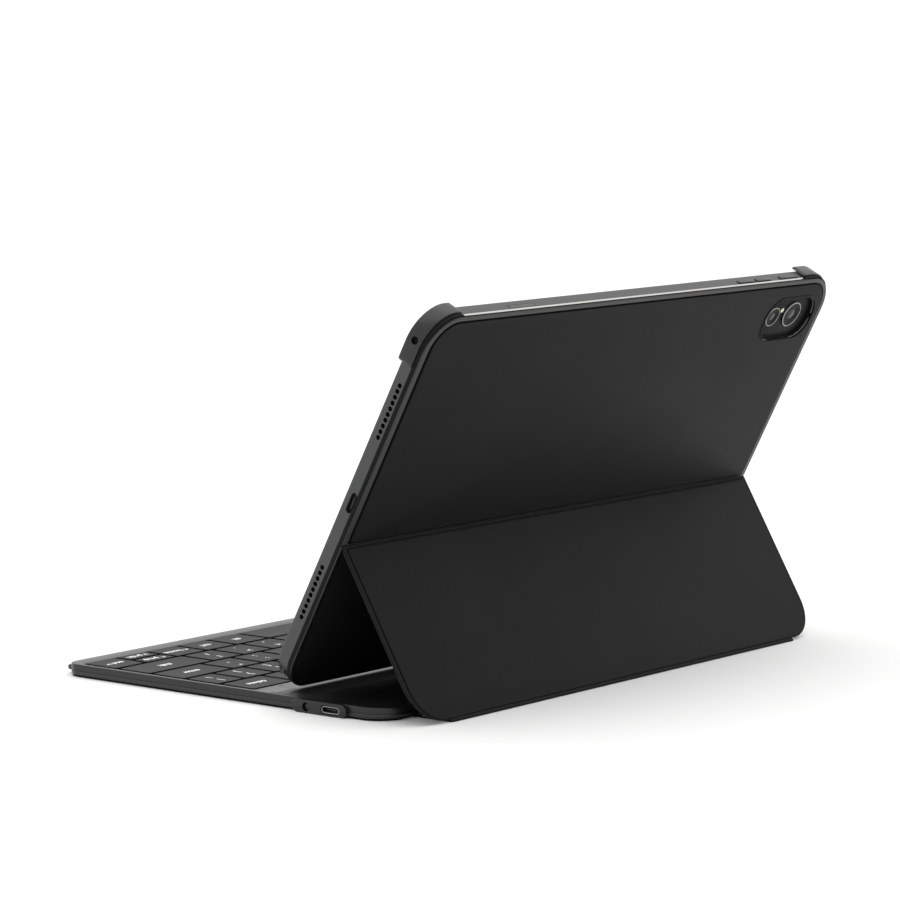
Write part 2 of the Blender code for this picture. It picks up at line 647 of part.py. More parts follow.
def clip_body(name, side, top_leg):
    """A corner clip: a hooked wall section carried round the tablet's top corner."""
    half, top = TABLET_WIDTH / 2, cover_length(TABLET_TOP)
    leg_low = cover_length(COVER_TOP - CLIP_SIDE_LEG)
    centre = (half - TABLET_CORNER, top - TABLET_CORNER)
    stations = [((half, leg_low), (1.0, 0.0))]
    for step in range(CLIP_STEPS + 1):
        turn = math.radians(90.0 * step / CLIP_STEPS)
        outward = (math.cos(turn), math.sin(turn))
        stations.append((
            (centre[0] + TABLET_CORNER * outward[0], centre[1] + TABLET_CORNER * outward[1]), outward,
        ))
    stations.append(((half - top_leg, top), (0.0, 1.0)))
    inner, outer = CLIP_CLEARANCE, CLIP_CLEARANCE + CLIP_WALL
    neck = min(CLIP_CLEARANCE + CLIP_NECK, SHELL_BORDER - LAYER_GAP)
    root = (SHELL_BACK + SHELL_FRONT) / 2
    section = [
        (inner, root), (neck, root), (neck, CLIP_BACK), (outer, CLIP_BACK),
        (outer, CLIP_FRONT - CLIP_NECK), (outer - CLIP_NECK, CLIP_FRONT), (inner, CLIP_FRONT),
    ]
    shape = bmesh.new()
    rings = []
    for (across, along), outward in stations:
        rings.append([
            shape.verts.new((
                side * (across + offset * outward[0]), along + offset * outward[1], depth,
            ))
            for offset, depth in section
        ])
    for first, second in zip(rings, rings[1:]):
        for index in range(len(section)):
            following = (index + 1) % len(section)
            shape.faces.new((first[index], first[following], second[following], second[index]))
    shape.faces.new(rings[0])
    shape.faces.new(reversed(rings[-1]))
    return finish_body(name, shape, cover_frame, None, (0.0, 0.0, 0.0))


def make_cover():
    window = prism("camera_window", camera_outline(0.0), -OVERSHOOT, TABLET_BACK, cover_frame)

    rim, near, far = cover_outline(0.0, 0.0), BOARD_INSET, BOARD_INSET + EMBOSS_RAMP
    edge = cover_outline(near, EMBOSS_TO_FOLD)
    step = cover_outline(far, EMBOSS_TO_FOLD + EMBOSS_RAMP / 2)
    skin = loft("cover_skin", [
        (step, LEATHER - EMBOSS_COVER), (edge, LEATHER), (rim, LEATHER),
        (rim, 0.0), (edge, 0.0), (step, -EMBOSS_COVER),
    ], cover_frame, leather)
    cut(skin, window)
    stiffener = prism(
        "cover_board", cover_outline(far + LAYER_GAP, BOARD_TO_FOLD),
        LEATHER - EMBOSS_COVER + LAYER_GAP, LEATHER, cover_frame, board,
    )
    cut(stiffener, window)

    trim_low, trim_high = -EMBOSS_COVER - LAYER_GAP, -EMBOSS_COVER - LAYER_GAP - TRIM_RISE
    trim = prism("camera_trim", camera_outline(TRIM_WIDTH), trim_high, trim_low, cover_frame, leather)
    cut(trim, window)

    shell = prism(
        "back_shell", shell_outline(SHELL_BORDER), SHELL_BACK, SHELL_FRONT, cover_frame, shell_plastic,
    )
    cut(shell, clip_body("clip_right", 1, CLIP_TOP_LEG_RIGHT), "UNION")
    cut(shell, clip_body("clip_left", -1, CLIP_TOP_LEG_LEFT), "UNION")
    cut(shell, window)
    hole_level = (CLIP_BACK + CLIP_FRONT) / 2 - MICROPHONE_LEVEL
    hole_at = (cover_length(TABLET_TOP - MICROPHONE_DROP), hole_level)
    cut(shell, prism(
        "microphone_hole", circle(hole_at, MICROPHONE_HOLE, SMALL_HOLE_SIDES),
        TABLET_WIDTH / 2 - OVERSHOOT, TABLET_WIDTH / 2 + 2 * OVERSHOOT, cover_frame,
        spin=SWEPT_ACROSS,
    ))
    liner = prism(
        "shell_liner", shell_outline(-LINER_INSET), LINER_BACK, LINER_BACK + LINER_THICKNESS,
        cover_frame, lining,
    )
    cut(liner, window)


# ---------------------------------------------------------------- tablet
def make_tablet():
    body_front = TABLET_FRONT - GLASS_THICKNESS - GLASS_GAP
    body = loft("tablet_body", [
        (shell_outline(-TABLET_CHAMFER), TABLET_BACK),
        (shell_outline(0.0), TABLET_BACK + TABLET_CHAMFER),
        (shell_outline(0.0), body_front - TABLET_CHAMFER / 2),
        (shell_outline(-TABLET_CHAMFER / 2), body_front),
    ], tablet_frame, aluminium)
    inside_low = TABLET_BACK + TABLET_BACK_WALL
    cut(body, prism(
        "tablet_hollow", shell_outline(-TABLET_WALL), inside_low, TABLET_FRONT, tablet_frame,
    ))
    prism(
        "tablet_core", shell_outline(-TABLET_WALL - FIT_GAP), inside_low + LAYER_GAP,
        body_front - LAYER_GAP, tablet_frame, laminate,
    )
    loft("tablet_glass", [
        (shell_outline(-GLASS_INSET), body_front + GLASS_GAP),
        (shell_outline(-GLASS_INSET), TABLET_FRONT - GLASS_INSET / 3),
        (shell_outline(-GLASS_INSET * 4 / 3), TABLET_FRONT),
    ], tablet_frame, glass)

    top = cover_length(TABLET_TOP)
    for name, (near, far) in EDGE_BUTTONS.items():
        middle, width = -TABLET_WIDTH / 2 + (near + far) / 2, far - near
        place = (middle, EDGE_BUTTON_DEPTH)
        cut(body, prism(
            name + "_recess", stadium(place, width, 2 * EDGE_BUTTON_HALF, FIT_GAP),
            top - EDGE_BUTTON_ROOT - 2 * FIT_GAP, top + OVERSHOOT, tablet_frame, spin=SWEPT_ALONG,
        ))
        prism(
            name, stadium(place, width, 2 * EDGE_BUTTON_HALF), top - EDGE_BUTTON_ROOT,
            top + EDGE_BUTTON_RISE, tablet_frame, aluminium, (middle, top, EDGE_BUTTON_DEPTH),
            SWEPT_ALONG,
        )
    tray_left = TABLET_WIDTH / 2 - CARD_TRAY_FROM_RIGHT[1]
    tray_width = CARD_TRAY_FROM_RIGHT[1] - CARD_TRAY_FROM_RIGHT[0]
    place = (tray_left + tray_width / 2, EDGE_BUTTON_DEPTH)
    cut(body, prism(
        "tray_recess", stadium(place, tray_width, 2 * EDGE_BUTTON_HALF, FIT_GAP / 3),
        top - EDGE_BUTTON_ROOT - FIT_GAP, top + OVERSHOOT, tablet_frame, spin=SWEPT_ALONG,
    ))
    prism(
        "card_tray", stadium(place, tray_width, 2 * EDGE_BUTTON_HALF), top - EDGE_BUTTON_ROOT,
        top + LAYER_GAP, tablet_frame, aluminium, spin=SWEPT_ALONG,
    )
    port_at = (cover_length(TABLET_BOTTOM + TABLET_PORT_RISE), TABLET_BACK + TABLET_PORT_LEVEL)
    cut(body, prism(
        "tablet_port", stadium(port_at, *TABLET_PORT_SIZE), TABLET_WIDTH / 2 - TABLET_PORT_DEPTH,
        TABLET_WIDTH / 2 + OVERSHOOT, tablet_frame, spin=SWEPT_ACROSS,
    ))
    make_camera()


def make_camera():
    """The camera plate and its two lenses, standing a little proud of the tablet's back."""
    plate_low = TABLET_BACK - LAYER_GAP
    plate_high = plate_low - PLATE_RISE
    prism(
        "camera_plate", camera_outline(-PLATE_MARGIN), plate_high, plate_low, tablet_frame, glass,
    )
    for name, offset, radius in (
        ("lens_large", LENS_LARGE_AT, LENS_LARGE), ("lens_small", LENS_SMALL_AT, LENS_SMALL),
    ):
        centre = (CAMERA_AT[0] + offset[0], CAMERA_AT[1] + offset[1])
        lens_low = plate_high - LAYER_GAP
        prism(
            name, circle(centre, radius, LENS_SIDES), lens_low - LENS_RISE, lens_low,
            tablet_frame, lens_glass, (*centre, lens_low),
        )


# ---------------------------------------------------------------- keys
# Rows run from the front to the rear.  Each entry is a node and the widths of its caps in key
# pitches, from the typist's left to the right; the first key of each row takes what is left over.
KEY_ROWS = [
    [
        ("key_control_left", [None]), ("key_function", [1.115]), ("key_option", [1.115]),
        ("key_command", [1.115]), ("key_space", [5.0]), ("key_alt", [1.1]),
        ("key_control_right", [1.0]), ("key_arrow_left", [1.0]), ("key_arrow_up", [1.0]),
        ("key_arrow_right", [1.0]),
    ],
    [("key_shift_left", [None]), ("key_lower_letters", [1.0] * 10), ("key_shift_right", [2.1])],
    [("key_caps_lock", [None]), ("key_home_letters", [1.0] * 11), ("key_enter", [1.61])],
    [
        ("key_tab", [None]), ("key_top_letters", [1.0] * 12), ("key_backslash", [0.88]),
    ],
    [
        ("key_escape", [None]), ("key_numbers", [1.0] * 12), ("key_backspace", [1.34]),
    ],
]


def key_loops(left, right, front, rear):
    """A keycap: upright sides and a narrow chamfer round its flat top."""
    def outline(inset):
        return rounded_rectangle(
            left + inset, right - inset, front + inset, rear - inset,
            KEY_CORNER - inset, KEY_CORNER - inset, KEY_CORNER_STEPS,
        )

    return [
        (outline(0.0), KEY_TOP - KEY_HEIGHT),
        (outline(0.0), KEY_TOP - KEY_CHAMFER),
        (outline(KEY_CHAMFER), KEY_TOP),
    ]


def make_key(name, caps):
    """One key, or a run of like keys joined by a thin web below their tops."""
    left, right = caps[0][0], caps[-1][1]
    front, rear = caps[0][2], caps[0][3]
    origin = ((left + right) / 2, (front + rear) / 2, KEY_TOP)
    key = loft(name, key_loops(*caps[0]), base_frame, key_plastic, origin)
    if len(caps) == 1:
        return
    joined = bmesh.new()
    joined.from_mesh(key.data)
    for cap in caps[1:]:
        one = loft("cap", key_loops(*cap), base_frame, key_plastic, origin)
        joined.from_mesh(one.data)
        bpy.data.objects.remove(one, do_unlink=True)
    joined.to_mesh(key.data)
    joined.free()
    middle, low = origin[1], KEY_TOP - KEY_HEIGHT + WEB_HEIGHT / 2
    web = box_outline(
        left + KEY_GAP, right - KEY_GAP, middle - WEB_WIDTH / 2, middle + WEB_WIDTH / 2,
    )
    cut(key, prism(name + "_web", web, low, low + WEB_HEIGHT, base_frame, key_plastic), "UNION")


def make_keys():
    margin = KEY_GAP / 2
    for row, entries in enumerate(KEY_ROWS):
        front = BAY_FRONT + row * ROW_PITCH + margin
        rear = front + ROW_PITCH - KEY_GAP
        stated = sum(width for _, widths in entries for width in widths if width is not None)
        left = -BAY_HALF
        for name, widths in entries:
            caps = []
            for width in widths:
                span = (ROW_UNITS - stated if width is None else width) * KEY_PITCH
                caps.append((left + margin, left + span - margin, front, rear))
                left += span
            if name == "key_arrow_up":
                near_side, far_side = caps[0][:2]
                half = (rear - front - KEY_GAP) / 2
                make_key("key_arrow_down", [(near_side, far_side, front, front + half)])
                make_key(name, [(near_side, far_side, rear - half, rear)])
            else:
                make_key(name, caps)


make_base()
make_spine()
make_kick()
make_cover()
make_tablet()
make_keys()
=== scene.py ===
"""A tablet keyboard case standing open, with a plain tablet seated in its back shell."""

import json
import math

import bpy
import numpy as np
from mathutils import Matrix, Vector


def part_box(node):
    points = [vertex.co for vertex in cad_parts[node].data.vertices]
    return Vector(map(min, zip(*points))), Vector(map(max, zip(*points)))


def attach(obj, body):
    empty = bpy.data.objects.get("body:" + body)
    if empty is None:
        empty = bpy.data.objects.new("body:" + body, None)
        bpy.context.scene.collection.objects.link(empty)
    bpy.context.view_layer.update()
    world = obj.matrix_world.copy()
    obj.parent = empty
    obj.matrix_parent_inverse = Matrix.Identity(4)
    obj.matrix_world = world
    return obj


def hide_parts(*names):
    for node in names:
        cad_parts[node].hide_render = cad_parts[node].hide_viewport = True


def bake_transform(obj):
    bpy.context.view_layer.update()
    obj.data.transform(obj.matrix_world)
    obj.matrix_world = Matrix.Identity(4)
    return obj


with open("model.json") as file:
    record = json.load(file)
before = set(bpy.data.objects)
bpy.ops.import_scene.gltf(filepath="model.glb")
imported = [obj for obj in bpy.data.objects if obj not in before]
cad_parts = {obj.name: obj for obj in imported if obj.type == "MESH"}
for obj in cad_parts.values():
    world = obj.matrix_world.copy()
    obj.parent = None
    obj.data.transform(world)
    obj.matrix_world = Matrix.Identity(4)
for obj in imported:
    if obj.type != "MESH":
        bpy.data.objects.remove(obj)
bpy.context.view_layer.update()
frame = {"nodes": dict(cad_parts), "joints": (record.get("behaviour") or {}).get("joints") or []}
MM = 0.001


# ======================================================================== studio
# A pale seamless floor under a large overhead softbox, with a dimmer wall of light beyond the
# keys, as a product table is lit.  The camera stands behind and to the right of the case.
def linear(code):
    """The linear colour of an sRGB hex code: each channel goes through the sRGB curve's inverse."""
    channels = np.array([int(code[i:i + 2], 16) for i in (1, 3, 5)]) / 255.0
    curve = np.where(channels <= 0.04045, channels / 12.92, ((channels + 0.055) / 1.055) ** 2.4)
    return (*curve.tolist(), 1.0)


def add_node(tree, kind, settings=None, links=None):
    """Adds one node.  A setting named like an input sets it, any other sets a property."""
    node = tree.nodes.new(kind)
    for key, value in (settings or {}).items():
        if isinstance(key, int) or key in node.inputs:
            node.inputs[key].default_value = value
        else:
            setattr(node, key, value)
    for key, socket in (links or {}).items():
        tree.links.new(socket, node.inputs[key])
    return node


def new_finish(name, colour, roughness, metallic=0.0, **sockets):
    """A Principled material with its constants on the shader's own sockets."""
    finish = bpy.data.materials.new(name)
    finish.use_nodes = True
    tree = finish.node_tree
    shader = tree.nodes["Principled BSDF"]
    shader.inputs["Base Color"].default_value = linear(colour)
    shader.inputs["Roughness"].default_value = roughness
    shader.inputs["Metallic"].default_value = metallic
    for key, value in sockets.items():
        shader.inputs[key.replace("_", " ")].default_value = value
    place = add_node(tree, "ShaderNodeTexCoord")
    return finish, tree, shader, place.outputs["Object"]


def grain(tree, shader, place, size, depth, strength=1.0):
    """Surface relief from noise whose features are `size` across and `depth` high."""
    noise = add_node(tree, "ShaderNodeTexNoise", {"Scale": 1.0 / size, "Detail": 3.0}, {
        "Vector": place,
    })
    bump = add_node(tree, "ShaderNodeBump", {"Strength": strength, "Distance": depth}, {
        "Height": noise.outputs["Fac"],
    })
    tree.links.new(bump.outputs["Normal"], shader.inputs["Normal"])


def tint(tree, shader, place, dark, light, size):
    """Base colour that wanders between two close colours over patches `size` across."""
    patches = add_node(tree, "ShaderNodeTexNoise", {"Scale": 1.0 / size, "Detail": 4.0}, {
        "Vector": place,
    })
    mix = add_node(tree, "ShaderNodeMix", {"data_type": "RGBA"})
    mix.inputs[6].default_value = linear(dark)
    mix.inputs[7].default_value = linear(light)
    tree.links.new(patches.outputs["Fac"], mix.inputs[0])
    tree.links.new(mix.outputs[2], shader.inputs["Base Color"])


def finished(name, colour, roughness, metallic=0.0, relief=None, patches=None, **sockets):
    """A material with relief as (size, depth, strength) and patches as (dark, light, size)."""
    finish, *parts = new_finish(name, colour, roughness, metallic, **sockets)
    if relief:
        grain(*parts, *relief)
    if patches:
        tint(*parts, *patches)
    return finish


STATION = (1.2838, 1.0246, 0.2855)       # camera's place, in metres from the base's centre
HEADING = math.radians(231.634)          # from +Y towards +X
TILT = math.radians(-6.882)
LENS = 155.19

camera = bpy.data.objects.new("camera", bpy.data.cameras.new("camera"))
camera.data.lens = LENS
camera.data.sensor_width = 36.0
camera.data.clip_start = 0.05
camera.location = STATION
camera.rotation_euler = (math.pi / 2 + TILT, 0.0, -HEADING)
bpy.context.collection.objects.link(camera)
bpy.context.scene.camera = camera
bpy.context.scene.view_settings.view_transform = "Standard"

floor_finish = finished("studio_paper", "#f7f7f6", 0.9, relief=(2.0 * MM, 0.02 * MM, 0.2))
FLOOR_HALF = 40.0
floor_mesh = bpy.data.meshes.new("studio_floor")
floor_mesh.from_pydata([
    (-FLOOR_HALF, -FLOOR_HALF, 0.0), (FLOOR_HALF, -FLOOR_HALF, 0.0),
    (FLOOR_HALF, FLOOR_HALF, 0.0), (-FLOOR_HALF, FLOOR_HALF, 0.0),
], [], [(0, 1, 2, 3)])
floor_mesh.materials.append(floor_finish)
studio_floor = bpy.data.objects.new("studio_floor", floor_mesh)
studio_floor.location.z = -0.0002
bpy.context.collection.objects.link(studio_floor)

world = bpy.data.worlds.new("studio_air")
bpy.context.scene.world = world
world.use_nodes = True
air = world.node_tree.nodes["Background"].inputs
air["Color"].default_value = linear("#ffffff")
air["Strength"].default_value = 1.1


def softbox(name, place, aim, width, height, watts, colour):
    """A flat rectangular lamp at `place` that faces `aim`."""
    lamp = bpy.data.lights.new(name, "AREA")
    lamp.shape = "RECTANGLE"
    lamp.size = width
    lamp.size_y = height
    lamp.energy = watts
    lamp.color = linear(colour)[:3]
    box = bpy.data.objects.new(name, lamp)
    box.location = place
    facing = np.array(aim) - np.array(place)
    across = math.atan2(facing[0], -facing[1])
    box.rotation_euler = (math.atan2(math.hypot(*facing[:2]), -facing[2]), 0.0, across)
    bpy.context.collection.objects.link(box)


softbox("overhead", (-0.3, -0.3, 2.2), (0.0, 0.0, 0.0), 3.0, 2.4, 18.0, "#ffffff")
softbox("far_wall", (-2.4, -1.6, 1.2), (0.0, 0.0, 0.1), 2.0, 1.2, 10.0, "#fff3e2")
softbox("near_side", (2.2, -1.2, 1.0), (0.1, 0.0, 0.05), 0.9, 0.9, 6.0, "#ffffff")


# ======================================================================== base: leather underside
# The case's outer skin is one cut of polyurethane-coated leather, glued under the keyboard base
# and run on over the hinges.  Its edge is rolled a little short of the moulded tray above it.
BASE_LOW, BASE_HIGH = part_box("base_tray")
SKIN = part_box("base_skin")[1].z
FRONT_CORNER = 7.0 * MM
REAR_CORNER = 12.0 * MM
X_AXIS = np.array([1.0, 0.0, 0.0])


def panel_frame(origin, along):
    """A panel's origin and its three axes: across, along and, as their cross product, inwards."""
    along = np.array(along, float)
    return np.array(origin, float), np.array([X_AXIS, along, np.cross(X_AXIS, along)])


def side_on(panel):
    """The same panel with outlines drawn on (along, inwards) and carried across it."""
    origin, axes = panel
    return origin, axes[[1, 2, 0]]


def rounded(left, right, bottom, top, lower, upper, steps=12):
    """Anticlockwise rectangle; each corner is a quarter circle of the lower or upper radius."""
    quarter = np.linspace(0.0, math.pi / 2, steps + 1)
    starts = np.array([-math.pi / 2, 0.0, math.pi / 2, math.pi])[:, None]
    radii = np.maximum(np.array([lower, upper, upper, lower]), 1e-5)[:, None]
    centre_x = np.array([right, right, left, left])[:, None] + radii * [[-1], [-1], [1], [1]]
    centre_y = np.array([bottom, top, top, bottom])[:, None] + radii * [[1], [-1], [-1], [1]]
    x = centre_x + radii * np.cos(starts + quarter)
    y = centre_y + radii * np.sin(starts + quarter)
    return np.stack([x.ravel(), y.ravel()], axis=1)


def built(name, points, faces, finishes, crease=35.0, finish_of=None):
    """A piece from points and faces.  finish_of gives each face's place among the finishes."""
    mesh = bpy.data.meshes.new(name)
    mesh.from_pydata(points, [], faces)
    for finish in finishes:
        mesh.materials.append(finish)
    if finish_of is not None:
        mesh.polygons.foreach_set("material_index", finish_of)
    piece = bpy.data.objects.new(name, mesh)
    bpy.context.collection.objects.link(piece)
    smooth(piece, crease)
    return piece


def grid_faces(index, ring_shaped=False):
    """Quads between neighbouring rows of point numbers, each row a closed outline.

    The first and last rows are closed flat, or joined to each other when ring_shaped."""
    upper = np.roll(index, -1, axis=0) if ring_shaped else index[1:]
    lower = index if ring_shaped else index[:-1]
    quads = np.stack([
        lower, np.roll(lower, -1, axis=1), np.roll(upper, -1, axis=1), upper,
    ], axis=2).reshape(-1, 4).tolist()
    return quads + ([] if ring_shaped else [index[0, ::-1].tolist(), index[-1].tolist()])


def circle(centre, radius, sides):
    """Evenly spaced points round a circle."""
    turn = np.linspace(0.0, 2 * math.pi, sides, endpoint=False)
    return np.stack([centre[0] + radius * np.cos(turn), centre[1] + radius * np.sin(turn)], axis=1)


def stacked(name, rings, levels, panel, finish, ring_shaped=False, crease=35.0):
    """A grid of points: outline i of `rings` at depth levels[i], each joined to the next.

    A level is one depth, or one for each point."""
    rings = np.array(rings, float)
    count, around = rings.shape[:2]
    depth = np.broadcast_to(np.array(levels, float).reshape(count, -1, 1), (count, around, 1))
    local = np.concatenate([rings, depth], axis=2).reshape(-1, 3)
    origin, axes = panel
    faces = grid_faces(np.arange(count * around).reshape(count, around), ring_shaped)
    return built(name, (origin + local @ axes).tolist(), faces, [finish], crease)


def smooth(piece, crease=35.0):
    """Smooth shading, kept sharp where faces meet at more than `crease` degrees."""
    piece.data.shade_smooth()
    piece.data.set_sharp_from_angle(angle=math.radians(crease))


def rolled(inset, level, size, rise, steps=4):
    """A rounded edge as (inset, level) pairs: a quarter ellipse from the side up to the face."""
    turn = np.linspace(0.0, math.pi / 2, steps + 1)
    return list(zip(inset + size * (1 - np.cos(turn)), level + rise * np.sin(turn)))


def base_outline(inset):
    return rounded(
        BASE_LOW.x + inset, BASE_HIGH.x - inset, BASE_LOW.y + inset, BASE_HIGH.y - inset,
        FRONT_CORNER - inset, REAR_CORNER - inset,
    )


def turned_plate(name, outline_at, profile, panel, finish, ring_shaped=False, crease=35.0):
    """A plate whose edge follows `profile`: outline_at(inset) at each (inset, level)."""
    rings = [outline_at(inset) for inset, _ in profile]
    return stacked(name, rings, [level for _, level in profile], panel, finish, ring_shaped, crease)


# Polyurethane-coated leather: a fine pebble under a soft, slightly waxy shine.  The pebble is
# drawn at 0.7 mm, about twice its real size, so that it shows at this distance.
leather, leather_tree, leather_shader, leather_place = new_finish(
    "coated_leather", "#0a0a0a", 0.5, IOR=1.23,
)
PEBBLE = 0.7 * MM
pebbles = add_node(leather_tree, "ShaderNodeTexVoronoi", {"Scale": 1.0 / PEBBLE}, {
    "Vector": leather_place,
})
fine_noise = add_node(leather_tree, "ShaderNodeTexNoise", {"Scale": 1.0 / (0.25 * MM)}, {
    "Vector": leather_place,
})
relief = add_node(leather_tree, "ShaderNodeMath", {"operation": "MULTIPLY_ADD", 1: 0.35}, {
    0: fine_noise.outputs["Fac"], 2: pebbles.outputs["Distance"],
})
leather_bump = add_node(leather_tree, "ShaderNodeBump", {"Strength": 0.35, "Distance": 0.02 * MM}, {
    "Height": relief.outputs[0],
})
leather_tree.links.new(leather_bump.outputs["Normal"], leather_shader.inputs["Normal"])
handled = add_node(leather_tree, "ShaderNodeTexNoise", {"Scale": 1.0 / (55 * MM), "Detail": 5.0}, {
    "Vector": leather_place,
})
polish = add_node(leather_tree, "ShaderNodeMapRange", {"To Min": 0.46, "To Max": 0.58}, {
    "Value": handled.outputs["Fac"],
})
leather_tree.links.new(polish.outputs["Result"], leather_shader.inputs["Roughness"])
tint(leather_tree, leather_shader, leather_place, "#090909", "#0c0c0c", 40 * MM)

FLAT = panel_frame((0.0, 0.0, 0.0), (0.0, 1.0, 0.0))
ACROSS = side_on(FLAT)
ROLL = 0.2 * MM
SKIN_INSET = 0.5 * MM
base_leather = turned_plate("base_leather", base_outline, [
    (0.8 * MM, 0.0), *[(SKIN_INSET + i, l) for i, l in rolled(0.0, ROLL, ROLL, -ROLL)[::-1]],
    *[(SKIN_INSET + i, l) for i, l in rolled(0.0, SKIN - ROLL, ROLL, ROLL)],
], FLAT, leather)
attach(base_leather, "base")
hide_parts("base_skin")


# ======================================================================== base: moulded tray
# The lower half of the keyboard is one injection moulding of polycarbonate, a shallow tray with a
# rounded lower edge.  It stops at the parting line, a hair below the deck frame.
tray_plastic = finished(
    "moulded_polycarbonate", "#181817", 0.34, relief=(0.35 * MM, 0.006 * MM, 0.5),
    patches=("#161615", "#1b1b1a", 30 * MM), IOR=1.5,
)
TRAY_EDGE = 0.9 * MM
TRAY_WALL = 1.4 * MM
TRAY_FLOOR = 0.7 * MM
base_tray = turned_plate("base_tray_moulding", base_outline, [
    *rolled(0.0, BASE_LOW.z + TRAY_EDGE, TRAY_EDGE, -TRAY_EDGE)[::-1],
    *rolled(0.0, BASE_HIGH.z - 0.15 * MM, 0.15 * MM, 0.15 * MM, 2),
    (TRAY_WALL, BASE_HIGH.z), (TRAY_WALL, BASE_LOW.z + TRAY_FLOOR),
], FLAT, tray_plastic)
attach(base_tray, "base")
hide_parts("base_tray")


def drill(piece, tool, crease=35.0):
    """Cuts the tool's shape out of a piece, then removes the tool."""
    step = piece.modifiers.new("drill", "BOOLEAN")
    step.object = tool
    step.solver = "EXACT"
    graph = bpy.context.evaluated_depsgraph_get()
    piece.data = bpy.data.meshes.new_from_object(piece.evaluated_get(graph))
    piece.modifiers.clear()
    bpy.data.objects.remove(tool)
    smooth(piece, crease)


def round_bar(name, centre, radius, low, high, panel, finish, sides=32):
    """A plain round bar between two depths of its panel."""
    return stacked(name, [circle(centre, radius, sides)] * 2, [low, high], panel, finish)


def slot_outline(centre, width, height, growth=0.0, steps=10):
    """A slot with round ends, grown all round by `growth`."""
    half, radius = width / 2 + growth, height / 2 + growth
    return rounded(
        centre[0] - half, centre[0] + half, centre[1] - radius, centre[1] + radius,
        radius, radius, steps,
    )


PLATE_LOW, PLATE_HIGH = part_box("side_plate")
BUTTON_LOW, BUTTON_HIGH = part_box("switch_button")
PORT_LOW, PORT_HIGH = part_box("charging_port")
BUTTON_AT = ((BUTTON_LOW.y + BUTTON_HIGH.y) / 2, (BUTTON_LOW.z + BUTTON_HIGH.z) / 2)
BUTTON_RADIUS = (BUTTON_HIGH.z - BUTTON_LOW.z) / 2
PORT_AT = ((PORT_LOW.y + PORT_HIGH.y) / 2, (PORT_LOW.z + PORT_HIGH.z) / 2)
PORT_SIZE = (PORT_HIGH.y - PORT_LOW.y, PORT_HIGH.z - PORT_LOW.z)
HOLE_GAP = 0.3 * MM


def side_tools():
    """The round bore and the port slot, long enough to pass through any wall of the side."""
    near, far = BASE_HIGH.x - 8 * MM, PLATE_HIGH.x + 2 * MM
    slot = slot_outline(PORT_AT, *PORT_SIZE, HOLE_GAP)
    return [
        round_bar("bore", BUTTON_AT, BUTTON_RADIUS + HOLE_GAP, near, far, ACROSS, tray_plastic),
        stacked("slot", [slot, slot], [near, far], ACROSS, tray_plastic),
    ]


for tool in side_tools():
    drill(base_tray, tool)


# ======================================================================== base: deck frame
# The upper moulding: a flat polycarbonate frame with one open bay for all the keys, painted with
# a soft metallic lacquer.  A crisp rounded edge runs round the outside and into the bay.
deck_paint = finished(
    "metallic_soft_paint", "#181716", 0.32, relief=(0.22 * MM, 0.006 * MM, 0.6),
    patches=("#161514", "#1b1a19", 25 * MM), IOR=1.45,
)
DECK_LOW, DECK_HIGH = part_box("deck_frame")
DECK = DECK_HIGH.z
KEY_GAP = 2.15 * MM
BAY_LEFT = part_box("key_escape")[0].x - KEY_GAP / 2
BAY_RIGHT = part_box("key_arrow_right")[1].x + KEY_GAP / 2
BAY_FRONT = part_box("key_space")[0].y - KEY_GAP / 2
BAY_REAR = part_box("key_escape")[1].y + KEY_GAP / 2
BAY_CORNER = 1.6 * MM


def bay_outline(inset):
    return rounded(
        BAY_LEFT + inset, BAY_RIGHT - inset, BAY_FRONT + inset, BAY_REAR - inset,
        BAY_CORNER, BAY_CORNER,
    )


DECK_EDGE = 0.45 * MM
BAY_EDGE = 0.2 * MM
BAY_FLANGE = 0.6 * MM
SKIRT = 0.9 * MM
DECK_UNDER = DECK - 1.2 * MM
outer_profile = [(0.0, DECK_LOW.z), *rolled(0.0, DECK - DECK_EDGE, DECK_EDGE, DECK_EDGE, 5)]
bay_profile = [
    *[(-i, l) for i, l in rolled(0.0, DECK - BAY_EDGE, BAY_EDGE, BAY_EDGE, 3)[::-1]],
    (0.0, DECK_LOW.z), (-BAY_FLANGE, DECK_LOW.z), (-BAY_FLANGE, DECK_UNDER),
]
skirt_profile = [(SKIRT, DECK_UNDER), (SKIRT, DECK_LOW.z)]
deck = stacked(
    "deck_moulding",
    [base_outline(i) for i, _ in outer_profile] + [bay_outline(i) for i, _ in bay_profile]
    + [base_outline(i) for i, _ in skirt_profile],
    [level for _, level in outer_profile + bay_profile + skirt_profile],
    FLAT, deck_paint, ring_shaped=True,
)
for tool in side_tools():
    drill(deck, tool)
LAMP_LOW, LAMP_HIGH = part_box("status_light")
LAMP_AT = ((LAMP_LOW.x + LAMP_HIGH.x) / 2, (LAMP_LOW.y + LAMP_HIGH.y) / 2)
LAMP_RADIUS, LAMP_BORE = 0.6 * MM, 0.8 * MM
drill(deck, round_bar("lamp_bore", LAMP_AT, LAMP_BORE, DECK_LOW.z, DECK + MM, FLAT, deck_paint, 24))
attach(deck, "base")
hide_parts("deck_frame")

# The status light is a moulded light pipe, frosted at its end and unlit.
pipe = finished("frosted_light_pipe", "#6d6f70", 0.35, relief=(0.1 * MM, 0.01 * MM), IOR=1.49)
lamp_profile = [(0.0, DECK_UNDER), *rolled(0.0, DECK - 0.2 * MM, 0.15 * MM, 0.1 * MM, 2)]
lamp = turned_plate(
    "status_light_pipe", lambda inset: circle(LAMP_AT, LAMP_RADIUS - inset, 24), lamp_profile,
    FLAT, pipe,
)
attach(lamp, "base")
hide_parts("status_light")


